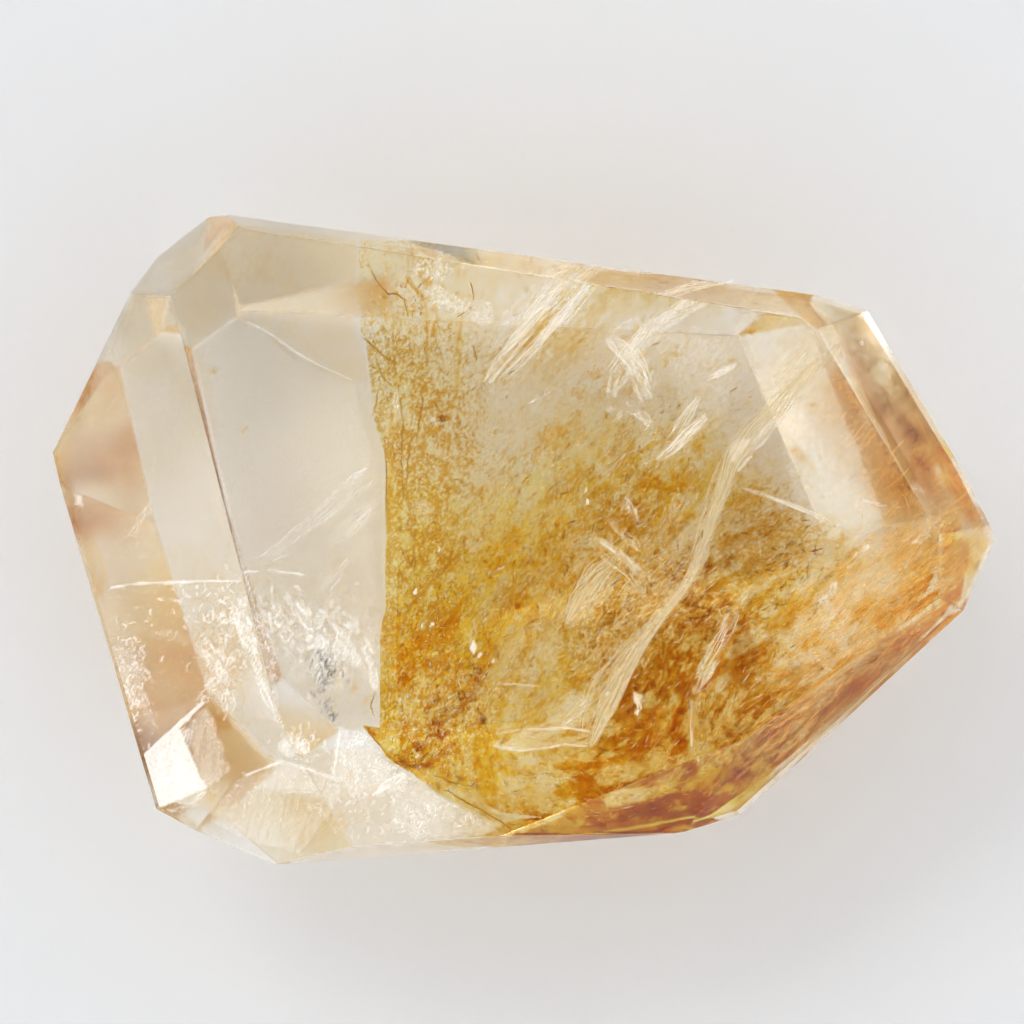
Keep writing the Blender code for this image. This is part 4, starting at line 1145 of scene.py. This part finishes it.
# The narrow facets round the stained end
rim_outline = [
    (362, 242), (500, 258), (814, 299), (863, 315), (956, 469), (986, 528), (990, 540), (959, 608), (800, 754), (738, 810), (685, 827), (594, 843),
    (508, 850), (504, 840), (620, 794), (746, 744), (941, 601), (942, 533), (818, 327), (799, 314), (700, 299), (520, 270), (362, 246),
]
RIM = [
    ((590, 262, 260, 26, -9, 4), (0.03, 0.08, 0.20)), ((440, 248, 60, 8, -8, 2), (-0.02, -0.05, -0.14)), ((760, 292, 60, 12, -9, 2), (0.04, 0.10, 0.20)),
    ((845, 322, 30, 22, -30, 2), (0.20, 0.28, 0.50)), ((862, 345, 24, 28, 28, 1.8), (0.18, 0.26, 0.24)), ((885, 370, 26, 60, 28, 2), (0.23, 0.42, 0.92)), ((900, 400, 26, 52, 28, 1.8), (0.14, 0.20, 0.30)), ((880, 405, 10, 26, 28, 1.3), (0.10, 0.20, 0.35)),
    ((912, 432, 9, 18, 28, 1.4), (0.24, 0.44, 0.70)), ((930, 455, 22, 60, 28, 1.8), (0.32, 0.72, 1.7)), ((964, 487, 14, 46, 28, 2), (0.08, 0.75, 2.6)),
    ((948, 550, 10, 30, 0, 1.6), (0.06, 0.36, 2.0)), ((972, 556, 14, 24, -20, 2), (0.14, 0.55, 2.2)), ((974, 592, 13, 11, 40, 1.4), (0.08, 0.44, 1.6)),
    ((890, 670, 100, 26, 41, 4), (0.14, 0.38, 0.80)), ((790, 762, 70, 30, 41, 3), (0.20, 0.36, 0.70)), ((700, 800, 70, 26, 20, 2.5), (0.12, 0.32, 2.2)),
    ((590, 830, 90, 16, 4, 3), (0.30, 0.62, 2.4)), ((530, 840, 24, 10, 0, 2), (0.30, 0.70, 1.6)), ((820, 716, 50, 8, 41, 1.5), (0.10, 0.22, 0.36)),
    ((905, 350, 7, 34, 30, 1.3), (-0.05, -0.07, -0.16)), ((917, 450, 6, 6, 0, 1.3), (-0.16, -0.30, -0.45)), ((862, 343, 4, 4, 0, 1.3), (-0.06, -0.10, -0.20)),
    ((905, 395, 6, 30, 28, 1.3), (0.05, 0.11, 0.20)), ((940, 600, 18, 7, -20, 1.5), (-0.05, -0.10, -0.20)),
]
scratches = blank()
g = np.random.default_rng(SEED + 13)
px, py, _ = scatter(2400, lambda x, y: inside_outline(x, y, rim_outline), (500, 240, 995, 855), 120)
n = len(px)
turn = np.where(px > 800, np.where(py < 560, math.radians(-60), math.radians(40)), math.radians(26))
turn = np.where(py < 330, math.radians(-8), turn)
strokes(scratches, px, py, turn + g.normal(0, 0.16, n), g.uniform(5, 22, n), g.uniform(0.55, 1.0, n), g.uniform(0.1, 0.7, n), g.normal(0, 0.4, n))
dark_edge = blank()
line(dark_edge, [(962, 606), (880, 682), (803, 753), (740, 808), (690, 825)], 2.6, 1.5, 310, 0.6, 0.3)
line(dark_edge, [(958, 602), (876, 672), (800, 738), (752, 776)], 1.4, 0.8, 311, 0.6, 0.6)
line(dark_edge, [(690, 828), (620, 838), (560, 845)], 1.8, 1.0, 312, 0.6, 0.5)
line(dark_edge, [(868, 316), (912, 396), (957, 468), (986, 526)], 1.6, 0.9, 313, 0.6, 0.5)


def rim_tint(px, py):
    d = spots_of(px, py, RIM)
    k = 1 + 0.75 * cloud(px, py, 30, 25, 5, 0.7) + 0.5 * (share(scratches, px, py) - 0.3) + 0.16 * speckle(px / 4.5, py / 4.5, 8)
    d = d * np.clip(k, 0.15, 2.2)[:, None] + share(dark_edge, px, py)[:, None] * np.array([0.24, 0.50, 0.75])
    c = share(milk_and_highlight, px, py)
    return np.exp(-np.maximum(d, 0) * (1 - 0.8 * c)[:, None])


stained_sheet("rim_stain", rim_outline, 1.5, None, stained("rim_stained", 2400.0, 0.2), rim_tint, place=under(0.9))


def milky(name, lift, glow=(0.98, 1.0, 0.99)):
    """A white film in the stone, as dense as is painted on the mesh. It also glows by its emission (lift), a painted
    light in place of the light it would scatter.
    """
    m, nt, s = shader(name, Roughness=0.6, Specular_IOR_Level=0.2, Emission_Color=(*glow, 1.0), Emission_Strength=lift)
    n = noise_node(nt, stretched(nt, 50, 900, 1800), 1.0, 2.0, 0.6)
    nt.links.new(blend_colour(nt, 1.0, attribute(nt, "tint", True), ramp(nt, n, (0.3, (0.90, 0.88, 0.84)), (0.7, (1, 1, 1))), "MULTIPLY"), s.inputs["Base Color"])
    nt.links.new(attribute(nt, "cover"), s.inputs["Alpha"])
    m.cycles.emission_sampling = "NONE"
    return m


def film_sheet(name, outline, step, place, material, cover, colour, least=0.06, parted=False):
    """The part of a surface where a film is dense enough to show."""
    return stained_sheet(name, outline, step, None, material, colour, cover, place, least, parted)


# The milky, feather and amber films glow a little by emission, painted light
film_sheet(
    "milky_flaws_and_highlight", clear_outline, 1.6, under(0.5), milky("milky_film", 0.50),
    lambda x, y: 0.80 * share(milk_and_highlight, x, y) * (1 + 0.15 * speckle(x / 2.2, y / 2.2, 9)), lambda x, y: np.full((len(x), 3), 0.975),
    parted=True,
)
feather_ground = [(400, 252), (560, 270), (800, 312), (850, 345), (930, 520), (935, 600), (760, 740), (600, 800), (480, 780), (392, 750), (392, 400), (380, 260)]
film_sheet(
    "feather_films", feather_ground, 1.35,
    level(lambda x, y: 30.9 - 0.012 * np.clip(curtain_side(x, y), 0, 500) + 0.3 * waves(x, y, 70, 31)), milky("feather_film", 0.38, (1.0, 0.98, 0.90)),
    lambda x, y: np.clip(0.66 * share(white, x, y) ** 1.2 + 0.24 * share(cream, x, y), 0, 0.8),
    lambda x, y: np.sqrt(np.clip(np.array([0.93, 0.80, 0.50]) + (np.array([0.98, 0.96, 0.90]) - np.array([0.93, 0.80, 0.50])) * np.clip(share(white, x, y) / (share(white, x, y) + share(cream, x, y) + 1e-6), 0, 1)[:, None], 0, 1)),
    0.10,
)

# Amber streaks at the stained end, close under its facets, that also glow by emission as painted light
amber = blank()
g = np.random.default_rng(SEED + 14)
patch(amber, [(846, 540), (872, 524), (905, 520), (938, 512), (942, 596), (905, 628), (850, 676), (806, 700), (790, 664), (815, 610)], 0.38, 8.0, 6.0, 22, 0.8, 71, 0.35)
patch(amber, [(868, 430), (892, 462), (912, 500), (934, 524), (930, 560), (890, 552), (868, 500), (856, 455)], 0.60, 6.0, 5.0, 18, 0.1, 72, 0.5)
patch(amber, [(826, 352), (846, 372), (880, 430), (912, 486), (936, 522), (926, 560), (892, 540), (880, 500), (856, 440), (838, 392)], 0.42, 5.0, 5.0, 18, 0.0, 76, 0.5)
patch(amber, [(900, 400), (926, 418), (962, 472), (986, 526), (962, 530), (936, 500), (912, 450)], 0.50, 5.0, 4.0, 16, 0.2, 73, 0.5)
patch(amber, [(868, 330), (884, 352), (930, 426), (912, 440), (880, 386), (862, 346)], 0.24, 6.0, 5.0, 16, 0.2, 77, 0.5)
patch(amber, [(944, 532), (990, 532), (984, 560), (960, 604), (944, 596)], 0.14, 3.0, 3.0, 14, 0.1, 78, 0.4)
patch(amber, [(908, 548), (930, 540), (944, 556), (940, 590), (915, 602)], 0.20, 4.0, 4.0, 12, 0.2, 74, 0.4)
patch(amber, [(945, 610), (880, 676), (800, 740), (730, 800), (690, 822), (720, 780), (800, 712), (880, 640)], 0.14, 5.0, 4.0, 20, 0.8, 75, 0.3)
px, py, _ = scatter(760, lambda x, y: near_to(x, y, [(865, 610, 80, 46, 34, 1), (915, 560, 34, 40, 0, 0.8), (790, 700, 60, 40, 40, 0.6), (880, 470, 26, 60, 28, 0.10), (955, 500, 16, 44, 28, 0.12)]), (740, 380, 990, 800), 130)
n = len(px)
strokes(amber, px, py, math.radians(40) + g.normal(0, 0.15, n), g.uniform(8, 36, n), g.uniform(0.5, 1.1, n), g.uniform(0.3, 1.7, n), g.normal(0, 0.5, n))
px, py, _ = scatter(1250, lambda x, y: in_warm(x, y) * np.clip(dense(x, y) * (0.5 + 1.6 * cloud(x, y, 22, 84, 3)), 0, 1), (420, 330, 950, 830), 131)
n = len(px)
strokes(amber, px, py, lie(px, py) + g.normal(0, 0.4, n), g.uniform(3, 13, n), g.uniform(0.5, 0.75, n), g.uniform(0.4, 1.8, n), g.normal(0, 1.5, n))
amber_outline = [(420, 560), (470, 470), (560, 400), (640, 380), (700, 440), (800, 500), (830, 420), (822, 345), (868, 322), (905, 372), (988, 526), (980, 562), (957, 606), (800, 752), (736, 808), (684, 826), (560, 832), (440, 770), (400, 700)]
film_sheet(
    "amber_films", amber_outline, 1.6, under(0.7), milky("amber_film", 0.30, (1.0, 0.67, 0.22)),
    lambda x, y: 0.52 * share(amber, x, y) ** 1.15, lambda x, y: np.tile([0.93, 0.69, 0.30], (len(x), 1)), 0.10,
)

# ---------------------------------------------------- grains and fibres sealed in


def slivers(name, n, box, density, height, size, tone, material, seed, spread=20.0, tilt=14.0, thick=0.13, turn=0.0, flat=0.9, roll=60.0):
    """Tiny needles and plates that follow the fibres. height gives each one's
    height, and size the range of its length."""
    px, py, g = scatter(n, density, box, seed)
    z = height(px, py, g)
    x, y = beneath(px, py, z)
    a = lie(px, py) + np.radians(turn + g.normal(0, spread, len(px)))
    e = np.radians(g.normal(0, tilt, len(px)))
    d = np.stack([np.cos(a) * np.cos(e), np.sin(a) * np.cos(e), np.sin(e)], 1)
    length = g.uniform(size[0], size[1], len(px)) * g.choice([0.6, 1.0, 1.5], len(px), p=[0.4, 0.45, 0.15])
    width = np.clip(length * g.uniform(thick * 0.7, thick * 1.5, len(px)), 0.05, 0.3)
    t = np.clip(tone(px, py, g), 0, 1)
    return chips(name, np.stack([x, y, z], 1), d, length, width, t, material, flat, roll)


rust_tones = sliver_material("iron_slivers", [(0.0, (0.22, 0.075, 0.015)), (0.3, (0.40, 0.17, 0.03)), (0.6, (0.60, 0.33, 0.07)), (1.0, (0.78, 0.52, 0.16))])
gold_tones = sliver_material("gold_slivers", [(0.0, (0.52, 0.27, 0.03)), (0.35, (0.72, 0.44, 0.05)), (0.7, (0.84, 0.58, 0.12)), (1.0, (0.90, 0.72, 0.28))])
# The cream slivers glow a little by emission (lift), a painted light
cream_tones = sliver_material("cream_slivers", [(0.0, (0.80, 0.62, 0.34)), (0.4, (0.88, 0.77, 0.54)), (0.75, (0.92, 0.86, 0.70)), (1.0, (0.93, 0.92, 0.86))], rough=0.4, lift=0.22)


def curtain_band(px, py):
    r = curtain_side(px, py)
    inside = (r > 1.0) & inside_outline(px, py, curtain_outline)
    win = spot(px, py, 395, 415, 14, 18, 0, 2) + spot(px, py, 385, 285, 22, 40, 0, 2)
    return inside * np.exp(-(np.clip(r - 55, 0, 400) / 45.0) ** 2) * np.clip(0.35 + (py - 260) / 150, 0.35, 1) * (1 - 0.6 * np.clip(win, 0, 1)) * np.clip(0.75 + 0.9 * fibres(px, py, 6, 60, 31), 0.1, 1.4)


slivers(
    "curtain_brown_grain", 1500, (355, 240, 560, 830), curtain_band,
    lambda x, y, g: curtain_height(x, y) + g.uniform(0.05, 0.5, len(x)), (0.22, 0.5),
    lambda x, y, g: g.uniform(0.25, 0.9, len(x)), rust_tones, 41, spread=34, thick=0.16,
)
slivers(
    "curtain_pale_grain", 900, (355, 240, 560, 830), curtain_band,
    lambda x, y, g: curtain_height(x, y) + g.uniform(0.1, 0.6, len(x)), (0.22, 0.48),
    lambda x, y, g: g.uniform(0.0, 0.8, len(x)), cream_tones, 42, spread=36, tilt=8, thick=0.2, flat=0.2, roll=14,
)

def fine_density(px, py):
    return inside_outline(px, py, inner_outline) * np.clip(dense(px, py) * (0.55 + 0.7 * fibres(px, py, 7, 70, 33) + 0.35 * cloud(px, py, 45, 3)), 0, 1)


def between(low, high):
    return lambda x, y, g: g.uniform(low, high, len(x)) + 0.8 * waves(x, y, 140, 9)


slivers(
    "gold_dust_upper", 1300, (400, 300, 950, 830), fine_density, between(19, 28), (0.25, 0.7),
    lambda x, y, g: g.beta(2.0, 2.0, len(x)), gold_tones, 51, spread=26, thick=0.13,
)
slivers(
    "gold_dust_lower", 2600, (400, 300, 950, 830), fine_density, between(8, 19), (0.35, 0.9),
    lambda x, y, g: g.beta(1.6, 2.0, len(x)), gold_tones, 52, spread=26, thick=0.15,
)

def brown_density(px, py):
    d = near_to(px, py, BROWN)
    return inside_outline(px, py, inner_outline) * np.clip(d * (0.5 + 0.8 * fibres(px, py, 5, 50, 35)), 0, 1)


slivers(
    "brown_fibres", 1500, (400, 300, 950, 830), brown_density, between(16, 27), (0.3, 0.9),
    lambda x, y, g: g.beta(1.6, 2.2, len(x)), rust_tones, 53, spread=34, thick=0.11,
)


def cream_density(px, py):
    d = 0.8 * spot(px, py, 640, 590, 80, 60, 40, 1.5) + 0.35 * dense(px, py) + 0.5 * spot(px, py, 860, 590, 110, 40, 32, 1.4) + 0.5 * spot(px, py, 640, 400, 70, 70, 45, 1.4)
    return inside_outline(px, py, inner_outline) * np.clip(d * (0.4 + 0.9 * fibres(px, py, 5, 60, 37)), 0, 1)


slivers(
    "cream_fibres", 1000, (400, 280, 950, 830), cream_density, between(24, 29), (0.35, 1.1),
    lambda x, y, g: g.uniform(0.1, 0.75, len(x)), cream_tones, 54, spread=24, tilt=8, thick=0.085, flat=0.2, roll=12,
)

# -------------------------------------------------------------- blades and feathers
# Blades, feathers and cracks glow a little by emission (lift), a painted light that brightens them
pale_blade = thread_material("cream_blade", (0.88, 0.74, 0.44), (0.95, 0.87, 0.64), rough=0.4, lift=0.20, glow=(0.96, 0.84, 0.56))
white_feather = thread_material("white_feather", (0.90, 0.85, 0.72), (0.97, 0.96, 0.92), rough=0.4, lift=0.38, glow=(1.0, 0.95, 0.84))
brown_thread = thread_material("brown_crack", (0.42, 0.20, 0.03), (0.66, 0.40, 0.10), lift=0.06, glow=(0.8, 0.45, 0.12))


def depth_points(path, z, lift=0.0):
    p = np.asarray(path, float)
    zz = np.broadcast_to(z, len(p)).astype(float) + lift
    x, y = beneath(p[:, 0], p[:, 1], zz)
    low, high = room(x, y)
    zz = np.clip(zz, low + 0.3, high - 0.3)
    return np.stack([x, y, zz], 1)


def feather(path, half_widths, z0, z1, n, radius, seed, stray=0.15, flare=4.0):
    """Threads that run along a path, bundled as wide as given (in picture
    units) at each of its points."""
    g = np.random.default_rng(SEED + 500 + seed)
    path, hw = np.asarray(path, float), np.asarray(half_widths, float)
    runs = []
    m = 26
    mid = along(np.column_stack([path, hw]), m)
    t = np.gradient(mid[:, :2], axis=0)
    t /= np.maximum(np.linalg.norm(t, axis=1)[:, None], 1e-6)
    nrm = np.stack([-t[:, 1], t[:, 0]], 1)
    for k in range(n):
        off = g.uniform(-1, 1)
        a, b = sorted(g.uniform(0, 1, 2))
        if b - a < 0.18:
            b = min(1.0, a + 0.3); a = max(0.0, b - 0.3)
        i0, i1 = int(a * (m - 1)), int(b * (m - 1)) + 1
        seg = mid[i0:i1 + 1]
        if len(seg) < 4:
            continue
        s = np.linspace(0, 1, len(seg))
        wob = off + stray * np.sin(s * g.uniform(2, 7) + g.uniform(0, 6)) + flare / 100 * (s - 0.5) * g.normal()
        p = seg[:, :2] + nrm[i0:i1 + 1] * (wob * seg[:, 2])[:, None]
        z = z0 + (z1 - z0) * np.linspace(a, b, len(seg)) + g.normal(0, 0.25)
        r = radius * g.uniform(0.5, 1.25) * np.sqrt(np.clip(np.sin(np.pi * np.clip(s, 0.02, 0.98)), 0.05, 1))
        runs.append((depth_points(p, z), r))
    return runs


blade = [(816, 364), (790, 385), (770, 410), (746, 436), (733, 458), (725, 482), (712, 520), (700, 550), (688, 582), (668, 610), (652, 630), (638, 650), (624, 676), (612, 702), (600, 728), (591, 747)]
blade_w = [2, 4, 7, 9, 8, 5, 4.5, 4, 4, 3.5, 4.5, 6, 6.5, 7, 5, 2]
runs = []
runs += feather(blade, blade_w, 28.5, 25.5, 38, 0.050, 1)
runs += feather([(830, 352), (800, 380), (780, 405), (752, 430)], [2, 6, 10, 12], 28.5, 28.2, 19, 0.035, 2)
runs += feather([(742, 440), (722, 480), (705, 530), (690, 570)], [9, 10, 7, 4], 28, 27, 15, 0.028, 3)
runs += feather([(652, 626), (628, 650), (600, 690), (585, 740)], [4, 8, 14, 8], 26.4, 25.4, 22, 0.030, 4)
runs += feather([(622, 556), (600, 575), (580, 600), (566, 622)], [10, 14, 12, 6], 27.4, 26.6, 24, 0.050, 5)
runs += feather([(590, 545), (610, 560), (628, 575), (640, 592)], [3, 4, 3, 2], 27.8, 27.2, 7, 0.035, 6)
strands("cream_blades", runs, pale_blade)

runs = []
runs += feather([(566, 280), (548, 298), (530, 318), (508, 345)], [9, 10, 8, 4], 29.2, 27.5, 13, 0.036, 11)
runs += feather([(572, 300), (548, 330), (520, 362), (500, 382)], [3, 5, 5, 3], 28.5, 27.0, 14, 0.025, 12)
runs += feather([(655, 315), (640, 335), (622, 355), (608, 372)], [3, 9, 9, 4], 28.0, 27.4, 16, 0.035, 13)
runs += feather([(612, 338), (630, 352), (642, 370), (650, 392)], [4, 9, 8, 4], 28.0, 27.2, 18, 0.035, 14)
runs += feather([(706, 416), (690, 432), (672, 450), (655, 462)], [2, 5, 5, 3], 28.2, 27.6, 16, 0.040, 15)
runs += feather([(736, 364), (722, 371), (710, 378)], [2, 4, 2], 28.6, 28.4, 8, 0.040, 16)
runs += feather([(735, 612), (722, 640), (708, 668), (696, 692)], [6, 8, 6, 3], 27.4, 26.4, 9, 0.026, 17)
runs += feather([(735, 280), (712, 292), (690, 300), (664, 318)], [4, 7, 6, 4], 28.4, 28.0, 18, 0.035, 18)
runs += feather([(700, 395), (690, 412), (670, 440)], [3, 6, 4], 28.0, 27.6, 11, 0.025, 19)
runs += feather([(745, 487), (775, 498), (810, 512), (840, 526)], [1.5, 3, 3, 1.5], 27.6, 27.0, 6, 0.018, 20)
runs += feather([(692, 700), (691, 745)], [1, 1], 26, 25.6, 4, 0.025, 21)
runs += feather([(636, 694), (640, 704), (638, 716)], [3, 3, 1], 27, 26.8, 5, 0.040, 22)
for i, (x, y) in enumerate([(472, 648), (415, 592), (480, 655), (432, 625), (587, 502), (862, 343)]):
    runs += feather([(x - 1, y + 3), (x, y), (x + 1, y - 3)], [1, 1.6, 0.8], 29, 29.2, 6, 0.10, 30 + i, 0.1)
strands("white_feathers", runs, white_feather)

# Brown cracks, drawn in threads close under the table
runs = []
for i, (path, half, much) in enumerate(CRACKS):
    if i in (4, 9, 10, 28, 29) or min(p[1] for p in path) < 262:
        continue
    g = np.random.default_rng(SEED + 700 + i)
    m = 6 + 4 * len(path)
    p = along(path, m) + g.normal(0, 0.45, (m, 2))
    s = np.linspace(0, 1, m)
    hz = curtain_height(p[:, 0], p[:, 1]) + 0.25
    runs.append((depth_points(p, hz), (0.035 + 0.02 * g.uniform()) * (0.25 + np.sin(np.pi * np.clip(s, 0.02, 0.98)) ** 0.5) * (1 + 0.4 * g.normal(0, 0.4, m).clip(-1, 1))))
strands("brown_cracks", runs, brown_thread)

# Rust blotches at the lower end of the curtain, and dark spots at its foot
RUST = [((436, 728), 9, 8), ((420, 748), 6, 4), ((412, 762), 18, 7), ((396, 757), 8, 6), ((482, 718), 5, 12), ((452, 712), 14, 4), ((466, 694), 10, 5), ((478, 672), 7, 6), ((443, 418), 5, 3)]


def rust_density(px, py):
    d = np.zeros(np.shape(px))
    for (cx, cy), rx, ry in RUST:
        d = np.maximum(d, spot(px, py, cx, cy, rx, ry, 20, 1.2))
    return d * (0.4 + 0.6 * (speckle(px / 4, py / 4, 3) > 0))


slivers("rust_blotches", 560, (380, 400, 540, 790), rust_density, lambda x, y, g: curtain_height(x, y) + g.uniform(0.3, 0.8, len(x)), (0.16, 0.36), lambda x, y, g: g.beta(1.3, 2.5, len(x)), rust_tones, 71, spread=60, thick=0.35)


def dark_density(px, py):
    return spot(px, py, 527, 832, 7, 4, 0, 1.5) + spot(px, py, 569, 830, 6, 4, 0, 1.5) + 0.6 * spot(px, py, 680, 830, 34, 5, 8, 1.5)


slivers("dark_spots", 700, (505, 815, 720, 845), dark_density, lambda x, y, g: g.uniform(25.5, 27, len(x)), (0.18, 0.4), lambda x, y, g: g.uniform(0.0, 0.35, len(x)), rust_tones, 72, spread=60, thick=0.4)

# ------------------------------------------------------------------- the view, stage
floor_me = bpy.data.meshes.new("floor")
floor_me.from_pydata([(-6, -6, 0), (6, -6, 0), (6, 6, 0), (-6, 6, 0)], [], [(0, 1, 2, 3)])
floor = bpy.data.objects.new("floor", floor_me)
bpy.context.scene.collection.objects.link(floor)
floor.location = (0, 0, -0.0002)
fm, fnt, fs = shader("floor_paper", Roughness=0.9)
fs.inputs["Base Color"].default_value = (0.905, 0.910, 0.915, 1)
floor_me.materials.append(fm)

scene = bpy.context.scene
world = bpy.data.worlds.new("studio")
scene.world = world
world.use_nodes = True
# Bright all round, and dimmer straight above, where the camera is held
wt = world.node_tree
where = wt.nodes.new("ShaderNodeTexCoord")
split = wt.nodes.new("ShaderNodeSeparateXYZ")
wt.links.new(where.outputs["Generated"], split.inputs[0])
sky = ramp(wt, split.outputs[2], (0.955, (0.858, 0.871, 0.895)), (0.985, (0.10, 0.10, 0.10)))
wt.links.new(sky, wt.nodes["Background"].inputs[0])
wt.nodes["Background"].inputs[1].default_value = 1.0

key = bpy.data.lights.new("key", "AREA")
key.shape, key.size, key.size_y, key.energy = "RECTANGLE", 1.2, 0.9, 13.0
key_ob = bpy.data.objects.new("key", key)
scene.collection.objects.link(key_ob)
key_ob.location = (-1.2, 1.6, 2.4)
key_ob.rotation_euler = (-Vector(key_ob.location)).to_track_quat("-Z", "Y").to_euler()

camera = bpy.data.cameras.new("camera")
camera.sensor_width = 36.0
camera.lens = 36.0 * REACH / VIEW_WIDTH
camera.clip_end = 50.0
camera_ob = bpy.data.objects.new("camera", camera)
scene.collection.objects.link(camera_ob)
camera_ob.location = [float(c) * MM for c in EYE]
scene.camera = camera_ob

scene.view_settings.view_transform = "Standard"
scene.cycles.max_bounces = 20
scene.cycles.transmission_bounces = 20
scene.cycles.glossy_bounces = 20
scene.cycles.diffuse_bounces = 2
scene.cycles.transparent_max_bounces = 48
scene.cycles.use_adaptive_sampling = True
scene.cycles.adaptive_min_samples = 12
scene.cycles.adaptive_threshold = 0.15
scene.cycles.blur_glossy = 0.0
scene.cycles.use_denoising = True
